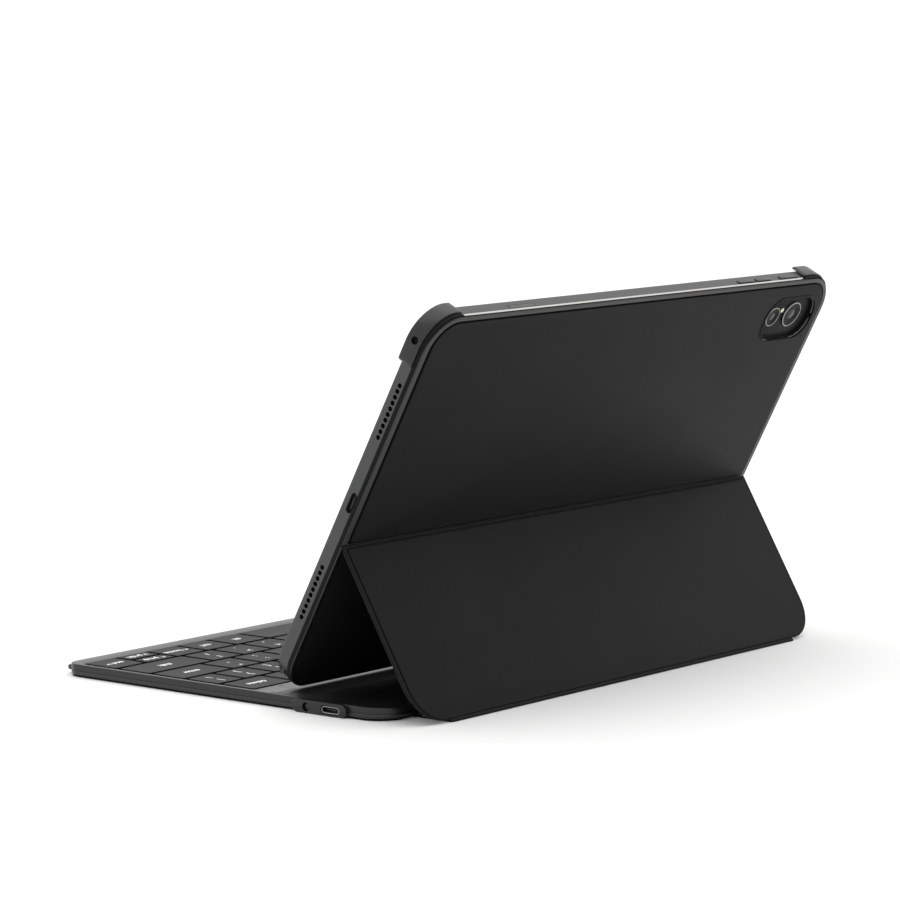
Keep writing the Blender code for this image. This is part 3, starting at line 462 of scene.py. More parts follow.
# ======================================================================== base: side plate and port
# A proud bezel is glued to the right side.  It frames the recessed round button and the charging
# port, whose mouth is a rolled steel shell with a black tongue inside.
PLATE_MIDDLE = ((PLATE_LOW.y + PLATE_HIGH.y) / 2, (PLATE_LOW.z + PLATE_HIGH.z) / 2)
PLATE_SIZE = (PLATE_HIGH.y - PLATE_LOW.y, PLATE_HIGH.z - PLATE_LOW.z)
PLATE_EDGE = 0.5 * MM
side_plate = turned_plate(
    "side_plate_bezel", lambda inset: slot_outline(PLATE_MIDDLE, *PLATE_SIZE, -inset, 16), [
        (0.0, PLATE_LOW.x), *rolled(0.0, PLATE_HIGH.x - PLATE_EDGE, PLATE_EDGE, PLATE_EDGE),
    ], ACROSS, deck_paint,
)
for tool in side_tools():
    drill(side_plate, tool)
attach(side_plate, "base")
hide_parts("side_plate")

port_steel = finished("rolled_port_steel", "#a7a7a9", 0.3, 1.0, relief=(0.15 * MM, 0.003 * MM))
PORT_WALL = 0.3 * MM
port_back = PORT_LOW.x + 1.2 * MM
port_shell = turned_plate(
    "port_shell", lambda inset: slot_outline(PORT_AT, *PORT_SIZE, -inset), [
        (0.0, PORT_LOW.x), *rolled(0.0, PORT_HIGH.x - 0.1 * MM, 0.1 * MM, 0.1 * MM, 2),
        (PORT_WALL, PORT_HIGH.x - 0.05 * MM), (PORT_WALL, port_back),
    ], ACROSS, port_steel,
)
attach(port_shell, "base")
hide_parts("charging_port")
black_nylon = finished("black_nylon", "#161617", 0.5, relief=(0.2 * MM, 0.01 * MM))
TONGUE = (6.2 * MM, 0.7 * MM)
TONGUE_DEPTH, TONGUE_EDGE = 1.6 * MM, 0.15 * MM
tongue = turned_plate(
    "port_tongue", lambda inset: slot_outline(PORT_AT, *TONGUE, -inset), [
        (0.0, port_back + 0.05 * MM),
        *rolled(0.0, PORT_HIGH.x - TONGUE_DEPTH, TONGUE_EDGE, TONGUE_EDGE, 2),
    ], ACROSS, black_nylon,
)
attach(tongue, "base")

# The button is a turned cap with a faintly domed face, sunk below the plate.
DOME = 0.15 * MM
button_profile = [(0.0, BUTTON_LOW.x), *rolled(0.0, BUTTON_HIGH.x - 0.35 * MM, 0.2 * MM, 0.2 * MM)]
button_profile += [
    (i, BUTTON_HIGH.x - DOME * (1 - i / BUTTON_RADIUS) ** 2)
    for i in np.linspace(0.25 * MM, 1.25 * MM, 6)
]
side_button = turned_plate(
    "side_button_cap", lambda inset: circle(BUTTON_AT, BUTTON_RADIUS - inset, 40), button_profile,
    ACROSS, deck_paint,
)
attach(side_button, "side_button")
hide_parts("switch_button")


# ======================================================================== base: dock ridge and lip
# A low moulded bar behind the keys holds the magnets and carries the cover's heel.  Its crest is
# rounded, its back falls in a long hollow slope, and both ends run out into the deck.
RIDGE_LOW, RIDGE_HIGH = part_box("dock_ridge")
CREST_FRONT, CREST_REAR = 4.6 * MM, 8.6 * MM       # from the ridge's front edge
RIDGE_SPAN = RIDGE_HIGH.y - RIDGE_LOW.y
RIDGE_TAPER = 10.0 * MM


def ridge_section(share):
    """The bar's outline on (y, z): eased rise, flat crest, and a slope that eases as it falls."""
    rise = (RIDGE_HIGH.z - RIDGE_LOW.z) * share
    climb = np.linspace(0.0, 1.0, 9)
    front = np.stack([CREST_FRONT * climb, rise * (3 * climb ** 2 - 2 * climb ** 3)], axis=1)
    fall = np.linspace(0.0, 1.0, 15)
    rear = np.stack([
        CREST_REAR + (RIDGE_SPAN - CREST_REAR) * fall, rise * (1 - fall) ** 2.2,
    ], axis=1)
    section = np.concatenate([rear[::-1], front[::-1]])
    section[:, 1] += 0.03 * MM
    base = np.array([[0.0, 0.0], [RIDGE_SPAN, 0.0]])
    return np.concatenate([base, section]) + [RIDGE_LOW.y, RIDGE_LOW.z]


def end_stations(low, high, taper):
    """Eight places over the taper at each end of a bar."""
    share = np.linspace(0, 1, 8)
    return np.concatenate([low + taper * share, high - taper * share[::-1]])


ease = np.sin(np.linspace(0.0, math.pi / 2, 8))
stations = end_stations(RIDGE_LOW.x, RIDGE_HIGH.x, RIDGE_TAPER)
ridge = stacked(
    "dock_ridge_bar", [ridge_section(s) for s in np.concatenate([ease, ease[::-1]])], stations,
    ACROSS, deck_paint,
)
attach(ridge, "base")
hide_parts("dock_ridge")

# The opening lip is a soft thermoplastic bead along the front edge.
lip_rubber = finished("soft_elastomer", "#2a2a2b", 0.6, relief=(0.3 * MM, 0.01 * MM))
LIP_LOW, LIP_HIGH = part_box("opening_lip")
lip_half = (LIP_HIGH.z - LIP_LOW.z) / 2
turn = np.linspace(math.pi / 2, 3 * math.pi / 2, 13)
lip_nose = np.stack([
    LIP_LOW.y + lip_half + lip_half * np.cos(turn), LIP_LOW.z + lip_half + lip_half * np.sin(turn),
], axis=1)
lip_back = np.array([[LIP_HIGH.y, LIP_LOW.z], [LIP_HIGH.y, LIP_HIGH.z]])
lip_section = np.concatenate([lip_back, lip_nose])
LIP_END = 1.2 * MM
draw_in = np.sqrt(1 - (1 - np.linspace(0.0, 1.0, 8)) ** 2)
lip_scale = np.concatenate([draw_in, draw_in[::-1]])
lip_rings = [
    (lip_section - [LIP_HIGH.y, LIP_LOW.z + lip_half]) * [max(s, 0.05), 0.4 + 0.6 * s]
    + [LIP_HIGH.y, LIP_LOW.z + lip_half] for s in lip_scale
]
lip_stations = end_stations(LIP_LOW.x, LIP_HIGH.x, LIP_END)
lip = stacked("opening_lip_bead", lip_rings, lip_stations, ACROSS, lip_rubber)
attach(lip, "base")
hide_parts("opening_lip")


# ======================================================================== keys
# Sixty-four caps on scissor switches.  Each has a crisp wall, a small rounded shoulder and a slightly
# dished top, which is grey and printed with its legend.  The walls and the lower shoulder are
# near-black: painted shade for the deep gaps between the keys.
grey_key_tops = finished(
    "grey_key_top", "#161718", 0.6, relief=(0.25 * MM, 0.008 * MM, 0.6),
    patches=("#141516", "#191a1b", 9 * MM), IOR=1.4,
)
# Near-black for the key walls: painted shade, standing in for the shade in the gaps between the keys.
painted_shade_key_walls = finished("key_wall_painted_shade", "#050505", 0.6, relief=(0.25 * MM, 0.008 * MM, 0.6), IOR=1.3)
legend_ink = finished("printed_legend_ink", "#e9e9e7", 0.55, relief=(0.12 * MM, 0.004 * MM))

KEY_SHOULDER = 0.14 * MM
KEY_CORNER = 1.0 * MM
KEY_DISH = 0.035 * MM
LETTER = 4.0 * MM                 # height of a capital
WORD = 3.2 * MM
CAPITAL_SHARE = 0.72              # a capital's height, as a share of the type size
PAIR_SHARE = 0.85                 # two signs on one key are smaller
PAIR_RISE, PAIR_DROP = 3.6 * MM, -3.4 * MM
WORD_MARGIN = 2.2 * MM
INK = 0.03 * MM
LEGENDS = {
    "key_control_left": ["control"], "key_function": ["fn"], "key_option": ["option"],
    "key_command": ["command"], "key_space": [""], "key_alt": ["alt"],
    "key_control_right": ["ctrl"], "key_arrow_left": ["< home"], "key_arrow_up": ["^ pgup"],
    "key_arrow_down": ["v pgdn"], "key_arrow_right": ["end >"],
    "key_shift_left": ["shift"], "key_shift_right": ["shift"],
    "key_lower_letters": ["Z", "X", "C", "V", "B", "N", "M", "< ,", "> .", "? /"],
    "key_caps_lock": ["caps lock"], "key_enter": ["enter"],
    "key_home_letters": ["A", "S", "D", "F", "G", "H", "J", "K", "L", ": ;", '" \''],
    "key_tab": ["tab"], "key_backslash": ["| \\"],
    "key_top_letters": ["Q", "W", "E", "R", "T", "Y", "U", "I", "O", "P", "{ [", "} ]"],
    "key_escape": ["esc"], "key_backspace": ["delete"],
    "key_numbers": ["! 1", "@ 2", "# 3", "$ 4", "% 5", "^ 6", "& 7", "* 8", "( 9", ") 0", "_ -",
                    "+ ="],
}


def keycap(name, left, right, front, rear, low, top):
    """Cap as stacked outlines: walls, a rounded shoulder, then rings that sink to a dish."""
    def outline(inset):
        return rounded(
            left + inset, right - inset, front + inset, rear - inset, KEY_CORNER - inset,
            KEY_CORNER - inset, 5,
        )

    profile = [(0.0, low), *rolled(0.0, top - KEY_SHOULDER, KEY_SHOULDER, KEY_SHOULDER, 4)]
    reach = KEY_CORNER - KEY_SHOULDER
    profile += [
        (KEY_SHOULDER + reach * step, top - KEY_DISH * step ** 2) for step in (0.4, 0.7, 0.95)
    ]
    cap = turned_plate(name, outline, profile, FLAT, painted_shade_key_walls, crease=50.0)
    cap.data.materials.append(grey_key_tops)
    around = len(outline(0.0))
    # The walls, the lower shoulder and the underside keep the near-black painted shade; the faces
    # from the shoulder's top inwards are the grey top.
    grey_top_faces = np.zeros(len(cap.data.polygons), np.int32)
    grey_top_faces[3 * around:] = 1
    grey_top_faces[-2] = 0
    cap.data.polygons.foreach_set("material_index", grey_top_faces)
    return cap


def lettering(words, place, height, centred, finish):
    """One legend as a thin inlay: text outlines filled flat, given 0.03 mm of ink, set upright."""
    text = bpy.data.curves.new("legend", "FONT")
    text.body = words
    text.size = height / CAPITAL_SHARE
    text.align_x = "CENTER" if centred else "LEFT"
    text.align_y = "CENTER"
    text.resolution_u = 2
    text.offset = 0.15 * MM
    text.extrude = INK / 2
    source = bpy.data.objects.new("legend", text)
    mesh = bpy.data.meshes.new_from_object(source)
    bpy.data.objects.remove(source)
    bpy.data.curves.remove(text)
    points = np.empty(len(mesh.vertices) * 3)
    mesh.vertices.foreach_get("co", points)
    points = points.reshape(-1, 3) + place
    mesh.vertices.foreach_set("co", points.ravel())
    mesh.materials.clear()
    mesh.materials.append(finish)
    return mesh


def gathered(name, meshes, crease=35.0):
    """One object from several meshes, their points and faces laid end to end."""
    points, faces, finishes, first = [], [], [], 0
    for mesh in meshes:
        points += [tuple(v.co) for v in mesh.vertices]
        faces += [[first + i for i in p.vertices] for p in mesh.polygons]
        finishes += [p.material_index for p in mesh.polygons]
        first += len(mesh.vertices)
    return built(name, points, faces, meshes[0].materials, crease, finishes)


for node, legends in LEGENDS.items():
    low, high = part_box(node)
    pitch = (high.x - low.x + KEY_GAP) / len(legends)
    caps, inks = [], []
    for place, legend in enumerate(legends):
        left = low.x + place * pitch
        right = left + pitch - KEY_GAP
        cap = keycap("cap", left, right, low.y, high.y, low.z, high.z)
        caps.append(cap.data)
        bpy.data.objects.remove(cap)
        middle = (left + right) / 2
        ink_level = high.z - INK
        lines = legend.split(" ") if len(legend) == 3 else [legend]
        if len(lines) == 2:
            for line, offset in zip(lines, (PAIR_RISE, PAIR_DROP)):
                spot = (middle, (low.y + high.y) / 2 + offset, ink_level)
                inks.append(lettering(line, spot, LETTER * PAIR_SHARE, True, legend_ink))
        elif len(legend) == 1:
            spot = (middle, (low.y + high.y) / 2, ink_level)
            inks.append(lettering(legend, spot, LETTER, True, legend_ink))
        elif legend:
            to_left = middle < 0
            spot = (left + WORD_MARGIN if to_left else middle, (low.y + high.y) / 2, ink_level)
            inks.append(lettering(legend, spot, WORD, not to_left, legend_ink))
    capped = gathered(node + "_caps", caps, 50.0)
    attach(capped, node)
    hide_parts(node)
    if inks:
        printed = gathered(node + "_legend", inks)
        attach(printed, node)


# ======================================================================== base: what lies inside
# Under the caps are a pressed steel plate and a black silicone dome sheet; behind them a circuit
# board, a pouch battery and two nickel-plated magnets.  None of it shows except between the keys.
def redress(node, finish):
    """Gives a carried-over solid its finish."""
    slots = frame["nodes"][node].data.materials
    slots.clear()
    slots.append(finish)


plate_steel = finished("galvanised_steel", "#8d8f92", 0.4, 1.0, relief=(1.5 * MM, 0.01 * MM))
dome_rubber = finished("black_silicone", "#060606", 0.8, relief=(0.5 * MM, 0.01 * MM), IOR=1.2)
laminate = finished("glass_epoxy_laminate", "#143a26", 0.4, patches=("#12361f", "#1c4a30", 3 * MM))
foil = finished("laminated_battery_foil", "#b4b5b8", 0.35, 0.8, relief=(4 * MM, 0.05 * MM))
nickel = finished("nickel_plate", "#c0bdb4", 0.28, 1.0, relief=(0.6 * MM, 0.004 * MM))
greyboard = finished("pressed_greyboard", "#77726a", 0.9, patches=("#6b665e", "#86817a", 1.2 * MM))
for node, finish in {
    "key_plate": plate_steel, "dome_sheet": dome_rubber, "main_board": laminate, "battery": foil,
    "dock_magnet_left": nickel, "dock_magnet_right": nickel, "spine_board": greyboard,
    "kick_board": greyboard, "cover_board": greyboard, "tablet_core": laminate,
}.items():
    redress(node, finish)


# ======================================================================== cover: leather back
# The back panel is a board wrapped in the leather skin.  The board lifts the middle of the skin half
# a millimetre out of a flat border, and the border's edge is trimmed and rolled; the rolled edge is
# glossier and lighter in colour, the lighter colour a painted highlight, and the groove round the
# board is near-black, a painted shade.
JOINTS = {joint["name"]: joint for joint in frame["joints"]}
cover_in = np.array(JOINTS["cover_tablet_release"]["axis"], float)
cover_in /= np.linalg.norm(cover_in)
cover_up = np.cross(cover_in, X_AXIS)
COVER = panel_frame(JOINTS["cover_fold_hinge"]["pos_m"], cover_up)


def span(node, panel):
    """A node's lowest and highest corners along a panel's own axes."""
    source = frame["nodes"][node]
    points = np.empty(len(source.data.vertices) * 3)
    source.data.vertices.foreach_get("co", points)
    world = np.array(source.matrix_world)
    points = points.reshape(-1, 3) @ world[:3, :3].T + world[:3, 3]
    local = (points - panel[0]) @ panel[1].T
    return local.min(axis=0), local.max(axis=0)


cover_low, cover_high = span("cover_skin", COVER)
EMBOSS = -cover_low[2]
LEATHER = cover_high[2]
COVER_BORDER = 3.0 * MM
COVER_GROOVE = 0.9 * MM
COVER_CORNER = 16.0 * MM
FOLD_CORNER = 0.35 * MM
WINDOW_CORNER = 9.2 * MM
FOLD_REACH = 0.65 * MM            # the visible skin runs this much nearer to the fold
TOP_SHARE = 0.6                   # the border is narrower along the top edge


def cover_outline(inset, hinge):
    """The panel's outline; its lower edge, along the hinge, has an inset of its own."""
    return rounded(
        cover_low[0] + inset, cover_high[0] - inset, cover_low[1] - FOLD_REACH + hinge,
        cover_high[1] - TOP_SHARE * inset, FOLD_CORNER + 0.25 * inset, COVER_CORNER - inset, 16,
    )


trim_low, trim_high = span("camera_trim", COVER)
TRIM = 1.0 * MM


def window_outline(growth):
    return rounded(
        trim_low[0] + TRIM - growth, trim_high[0] - TRIM + growth,
        trim_low[1] + TRIM - growth, trim_high[1] - TRIM + growth,
        WINDOW_CORNER + growth, WINDOW_CORNER + growth, 16,
    )


# The skin's rolled rim is glossier and lighter in colour, the lighter colour a painted highlight;
# inside the groove round the board the faces are near-black, a painted shade.
# The rim's finish is glossier, and its lighter colour is a painted highlight along the rolled edge.
rim_gloss_painted_highlight = finished("rim_gloss_with_painted_highlight", "#131313", 0.34, relief=(0.7 * MM, 0.02 * MM, 0.35), IOR=1.5)
# Near-black for the groove's faces: painted shade, darker than the groove's own shading gives.
painted_shade_black = finished("painted_shade_near_black", "#030303", 0.7, relief=(0.3 * MM, 0.01 * MM), IOR=1.2)


def embossed(outline, face, back, rise, border, groove, hinge_border):
    """Outlines and levels of a wrapped board, from its inner face round the rim to its outer face.

    The rim rolls over as a quarter ellipse, then comes a flat border, a groove with steep walls,
    and a rounded ramp up to the board's flat face.  Each step is (inset, hinge inset, level)."""
    roll, sink = 1.3 * MM, 0.3 * MM
    deep = 0.4 * MM
    far = border + groove
    turn = np.linspace(0.0, math.pi / 2, 6)
    rim = [
        (roll * (1 - math.cos(t)), 0.0, face + sink * (1 - math.sin(t))) for t in turn
    ]
    steps = [
        (border, 0.0, back), (0.1 * MM, 0.0, back), (0.0, 0.0, back - 0.08 * MM), *rim,
        (border - 0.15 * MM, hinge_border * 0.7, face),
        (border, hinge_border * 0.9, face + deep * 0.5),
        (border + 0.08 * MM, hinge_border, face + deep),
        (far - 0.05 * MM, hinge_border + 0.35 * MM, face + deep),
        (far, hinge_border + 0.4 * MM, face),
        (far + 0.1 * MM, hinge_border + 0.5 * MM, face - rise * 0.6),
        (far + 0.3 * MM, hinge_border + 0.65 * MM, face - rise * 0.92),
        (far + 0.7 * MM, hinge_border + 0.9 * MM, face - rise),
    ]
    return [outline(inset, hinge) for inset, hinge, _ in steps], [level for _, _, level in steps]


rings, levels = embossed(
    cover_outline, 0.0, LEATHER, EMBOSS, COVER_BORDER, COVER_GROOVE, 0.5 * MM,
)
rings += [window_outline(0.25 * MM), window_outline(0.0), window_outline(0.0)]
levels += [-EMBOSS, -EMBOSS + 0.2 * MM, LEATHER]
cover_leather = stacked(
    "cover_leather", rings[::-1], levels[::-1], COVER, leather, ring_shaped=True,
)
ROLLED = range(3, 9)              # the profile's steps over the rim
GROOVE_SHADE_STEPS = range(9, 14)            # and those in the groove


def give_shade_and_highlight(piece, around, count):
    """Gives the rim's faces the glossier finish with its painted highlight, and the groove's faces
    the near-black painted shade.
    """
    piece.data.materials.append(painted_shade_black)
    piece.data.materials.append(rim_gloss_painted_highlight)
    step = count - 2 - np.arange(len(piece.data.polygons)) // around
    finish = np.where(np.isin(step, GROOVE_SHADE_STEPS), 1, np.where(np.isin(step, ROLLED), 2, 0))
    piece.data.polygons.foreach_set("material_index", finish.astype(np.int32))


give_shade_and_highlight(cover_leather, len(rings[0]), len(rings))
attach(cover_leather, "cover")
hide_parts("cover_skin")

# A die-cut collar of the same leather is pressed round the camera window.
collar = stacked(
    "camera_window_collar",
    [window_outline(TRIM), window_outline(TRIM), window_outline(TRIM - 0.2 * MM),
     window_outline(TRIM - 0.55 * MM), window_outline(0.12 * MM), window_outline(0.0),
     window_outline(0.0)][::-1],
    np.array([trim_high[2], -EMBOSS - 0.1 * MM, trim_low[2] + 0.06 * MM, trim_low[2],
              trim_low[2] + 0.05 * MM, trim_low[2] + 0.15 * MM, trim_high[2]])[::-1],
    COVER, leather, ring_shaped=True,
)
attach(collar, "cover")
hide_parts("camera_trim")


# ======================================================================== kick panel
# The lower back panel is the same build, faced inside with microfibre.  It props the cover up.
kick_foot = np.array(JOINTS["cover_kick_hinge"]["pos_m"], float)
FOLD_DROP = 1.3 * MM              # from the fold line down to the hinge axis inside the panel
fold_line = COVER[0] + FOLD_DROP * cover_up
kick_up = (fold_line - kick_foot) * [0.0, 1.0, 1.0]
kick_up /= np.linalg.norm(kick_up)
KICK = panel_frame(kick_foot * [0.0, 1.0, 1.0], kick_up)
kick_low, kick_high = span("kick_skin", KICK)
KICK_EMBOSS = -kick_low[2]
KICK_CORNER = 16.5 * MM
KICK_BORDER = 1.9 * MM
KICK_GROOVE = 0.4 * MM
KICK_FOLD_REACH = 1.45 * MM
FOOT_SHARE = 0.12                 # the board reaches nearly to the foot


def kick_outline(inset, hinge):
    """The panel's outline; its upper edge, along the hinge, has an inset of its own."""
    return rounded(
        kick_low[0] + inset, kick_high[0] - inset, kick_low[1] + FOOT_SHARE * inset,
        kick_high[1] + KICK_FOLD_REACH - hinge, KICK_CORNER - inset, FOLD_CORNER + 0.25 * inset, 16,
    )


rings, levels = embossed(
    kick_outline, 0.0, kick_high[2], KICK_EMBOSS, KICK_BORDER, KICK_GROOVE, 1.0 * MM,
)
kick_leather = stacked("kick_leather", rings[:0:-1], levels[:0:-1], KICK, leather)
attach(kick_leather, "kick_panel")
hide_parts("kick_skin")

# Microfibre: a brushed knit with a soft, dull nap that lightens at grazing angles.
microfibre = finished(
    "brushed_microfibre", "#1d1d1e", 0.95, relief=(0.3 * MM, 0.08 * MM, 0.8),
    patches=("#1a1a1b", "#212122", 6 * MM), Sheen_Weight=0.12, Sheen_Roughness=0.5, IOR=1.2,
)
lining_low, lining_high = span("kick_lining", KICK)


def lining_outline(inset):
    """The lining's outline; past its rim, its upper edge along the fold is drawn in far less."""
    at_rim = inset < 0.2 * MM
    return rounded(
        lining_low[0] + inset, lining_high[0] - inset, lining_low[1] + inset,
        lining_high[1] - (inset if at_rim else 0.15 * inset), KICK_CORNER - inset,
        1.5 * MM if at_rim else 1.4 * MM, 16,
    )


# The lining lies flat at its border and rides up over the board, which bulges both ways.
lining_edge = lining_low[2] + 0.4 * MM
lining_profile = [
    (0.3 * MM, lining_low[2]), (0.1 * MM, lining_low[2]), (0.0, lining_low[2] + 0.1 * MM),
    (0.0, lining_edge - 0.12 * MM), (0.12 * MM, lining_edge), (3.5 * MM, lining_edge),
    (3.9 * MM, lining_high[2] - 0.08 * MM), (4.1 * MM, lining_high[2]),
]
kick_lining = turned_plate("kick_microfibre", lining_outline, lining_profile, KICK, microfibre)
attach(kick_lining, "kick_panel")
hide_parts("kick_lining")


# ======================================================================== spine strip
# Between the base and the kick panel the leather lies flat: a narrow board, leather below and
# microfibre above.
def strip_plate(name, node, edge, finish, body):
    """A flat strip with softly rounded edges in the place of its CAD solid."""
    low, high = span(node, FLAT)

    def outline(inset):
        return rounded(
            low[0] + inset, high[0] - inset, low[1] + inset, high[1] - inset, 1.5 * MM, 1.5 * MM, 6,
        )

    profile = rolled(0.0, low[2] + edge, edge, -edge, 3)[::-1]
    profile += rolled(0.0, high[2] - edge, edge, edge, 3)
    piece = turned_plate(name, outline, profile, FLAT, finish)
    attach(piece, body)
    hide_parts(node)
    return low, high


spine_low, spine_high = strip_plate(
    "spine_leather", "spine_skin", 0.15 * MM, leather, "spine",
)
strip_plate("spine_microfibre", "spine_lining", 0.12 * MM, microfibre, "spine")


# ======================================================================== hinges: bare leather
# Where the panels bend, the skin runs on bare between two boards.  Each hinge here is one sheet
# 0.42 mm thick, carried across the case along a smooth path.
HINGE_LEATHER = 0.42 * MM


def hinge_sheet(name, path, half_width, curl=0.0, columns=121):
    """A sheet swept across: the path's points shifted along its own normal make the second face.

    Points near both ends are drawn towards the base by `curl` times a quarter-circle law."""
    path = np.array(path, float)
    tangent = np.gradient(path, axis=0)
    tangent /= np.linalg.norm(tangent, axis=1)[:, None]
    normal = np.stack([-tangent[:, 1], tangent[:, 0]], axis=1)
    loop = np.concatenate([path, (path + HINGE_LEATHER * normal)[::-1]])
    x = half_width * np.sin(np.linspace(-math.pi / 2, math.pi / 2, columns))
    reach = np.clip(1 - (half_width - np.abs(x)) / (2.2 * MM), 0, 1)
    fall = curl * (1 - np.sqrt(1 - reach ** 2))
    points = np.empty((columns, len(loop), 3))
    points[:, :, 0] = x[:, None]
    points[:, :, 1:] = loop - fall[:, None, None] * np.array([1.0, 0.0])
    faces = grid_faces(np.arange(columns * len(loop)).reshape(columns, -1))
    return built(name, points.reshape(-1, 3).tolist(), faces, [leather], 50.0)


def bend(start, corner, end, steps=14):
    """A quadratic curve on (y, z) from start to end, pulled towards the corner."""
    share = np.linspace(0.0, 1.0, steps)[:, None]
    start, corner, end = (np.array(p, float)[-2:] for p in (start, corner, end))
    return (1 - share) ** 2 * start + 2 * share * (1 - share) * corner + share ** 2 * end


BUTT = 0.03 * MM
TUCK = 0.25 * MM                 # the crease is pressed in between the two boards
cover_edge = COVER[0] + (cover_low[1] - FOLD_REACH - BUTT) * cover_up + 0.12 * MM * COVER[1][2]
kick_top = KICK[0] + (kick_high[1] + KICK_FOLD_REACH + BUTT) * kick_up + 0.12 * MM * KICK[1][2]
crease = fold_line + TUCK * (COVER[1][2] + KICK[1][2])
fold_sheet = hinge_sheet(
    "fold_leather", bend(kick_top, crease, cover_edge), kick_high[0] - 0.25 * MM,
)
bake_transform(fold_sheet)

kick_edge = KICK[0] + (kick_low[1] - BUTT) * kick_up
floor_edge = np.array([0.0, spine_high[1] + BUTT, 0.0])
foot_corner = np.array([0.0, KICK[0][1] + 0.35 * MM, -0.02 * MM])
foot_turn = foot_corner + [0.0, -0.1 * MM, 0.1 * MM]
foot_path = np.concatenate([
    bend(kick_edge, KICK[0] + 0.5 * MM * kick_up, foot_turn, 8)[:-1],
    bend(foot_turn, foot_corner + [0.0, -0.5 * MM, 0.0], floor_edge, 8),
])
foot_sheet = hinge_sheet("foot_leather", foot_path[::-1], spine_high[0], curl=0.8 * MM)
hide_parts("foot_strip")
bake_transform(foot_sheet)

rear_start = np.array([BASE_HIGH.y - 0.5 * MM + BUTT, 0.0])
rear_end = np.array([spine_low[1] - BUTT, 0.0])
rear_path = rear_end + (rear_start - rear_end) * np.linspace(0.0, 1.0, 10)[:, None]
rear_sheet = hinge_sheet("rear_hinge_leather", rear_path[::-1], spine_high[0])
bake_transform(rear_sheet)


# ======================================================================== back shell and clips
# A hard polycarbonate tray is bonded inside the cover, coloured near-black as painted shade for the
# narrow gaps where it shows.  Two hooks at the top corners spring over the tablet's edge; each is one
# moulding with the shell, satin outside and rounded on every edge, with its neck and inner face in
# the same near-black painted shade.
shell_plastic = finished(
    "satin_polycarbonate", "#0e0e0e", 0.26, relief=(0.4 * MM, 0.004 * MM, 0.5),
    patches=("#0d0d0d", "#111111", 12 * MM), IOR=1.5,
)
SATIN_CREASE = 40.0               # degrees; the clips stay smooth up to here
body_low, body_high = span("tablet_body", COVER)
liner_low, liner_high = span("shell_liner", COVER)
TABLET_HALF = body_high[0]
TABLET_CORNER = 14.0 * MM
SHELL_LIP = 0.6 * MM
HEEL_GAP = 0.4 * MM
SHELL_BACK = LEATHER + 0.05 * MM
SHELL_FRONT = liner_low[2] - 0.05 * MM


def tablet_outline(inset, steps=20):
    return rounded(
        -TABLET_HALF + inset, TABLET_HALF - inset, body_low[1] + inset, body_high[1] - inset,
        TABLET_CORNER - inset, TABLET_CORNER - inset, steps,
    )


def shell_outline(inset):
    """The shell's outline, proud of the tablet all round and level with the heel below."""
    return rounded(
        -TABLET_HALF - SHELL_LIP + inset, TABLET_HALF + SHELL_LIP - inset,
        body_low[1] - HEEL_GAP + inset, body_high[1] + 0.05 * MM - inset,
        TABLET_CORNER + SHELL_LIP - inset, TABLET_CORNER + SHELL_LIP - inset, 16,
    )


# The tray itself is the same plastic with a coarse texture, coloured near-black and matt: painted
# shade for the gap where its edge shows between the metal and the leather.
shell_painted_shade_black = finished(
    "near_black_shell_painted_shade", "#070707", 0.8, relief=(0.3 * MM, 0.02 * MM), IOR=1.3,
)
WALL_TOP = body_low[2] + 0.75 * MM
shell_profile = rolled(0.0, SHELL_BACK + 0.15 * MM, 0.15 * MM, -0.15 * MM, 3)[::-1]
shell_profile += rolled(0.0, WALL_TOP - 0.08 * MM, 0.08 * MM, 0.08 * MM, 2)
shell_profile += [(0.28 * MM, WALL_TOP), (0.3 * MM, WALL_TOP - 0.05 * MM), (0.3 * MM, SHELL_FRONT)]
# The wall that hides the tablet's rear edge dies away round the top corners, so that the buttons
# are free: its height is scaled by how far a point lies below the top edge, over the corner.
shell_rings = [shell_outline(i) for i, _ in shell_profile] + [window_outline(0.0)] * 2
shell_levels = []
for ring, level in zip(shell_rings, [l for _, l in shell_profile] + [SHELL_FRONT, SHELL_BACK]):
    share = np.clip((body_high[1] - ring[:, 1]) / TABLET_CORNER, 0.0, 1.0)
    lowered = SHELL_FRONT + (level - SHELL_FRONT) * share
    shell_levels.append(np.where(level > SHELL_FRONT, lowered, level))
shell = stacked("shell_tray", shell_rings, shell_levels, COVER, shell_painted_shade_black, ring_shaped=True)
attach(shell, "cover")
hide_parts("back_shell")

CLIP_CLEARANCE = 0.3 * MM
CLIP_WALL = 0.9 * MM
CLIP_NECK = 0.35 * MM
CLIP_BACK = 2.5 * MM
CLIP_FRONT = 9.9 * MM
CLIP_SIDE_LEG = 22.6 * MM          # below the tablet's top edge
CLIP_TOP_LEGS = {1: 17.1 * MM, -1: 21.5 * MM}      # in from the tablet's right and left sides


def clip_section():
    """(offset from the tablet's edge, depth): a neck from the shell, then a round-edged wall."""
    inner, outer = CLIP_CLEARANCE, CLIP_CLEARANCE + CLIP_WALL
    quarter = np.linspace(0.0, math.pi / 2, 5)
    back = 0.35 * MM
    front = 0.6 * MM
    back_round = np.stack([
        outer - back + back * np.sin(quarter), CLIP_BACK + back - back * np.cos(quarter),
    ], axis=1)
    front_round = np.stack([
        outer - front + front * np.cos(quarter), CLIP_FRONT - front + front * np.sin(quarter),
    ], axis=1)
    neck = CLIP_CLEARANCE + CLIP_NECK - 0.1 * MM
    root = (SHELL_BACK + SHELL_FRONT) / 2
    return np.concatenate([
        [[inner, root], [neck, root], [neck, CLIP_BACK]], back_round, front_round,
        [[inner + 0.05 * MM, CLIP_FRONT], [inner, CLIP_FRONT - 0.05 * MM]],
    ])


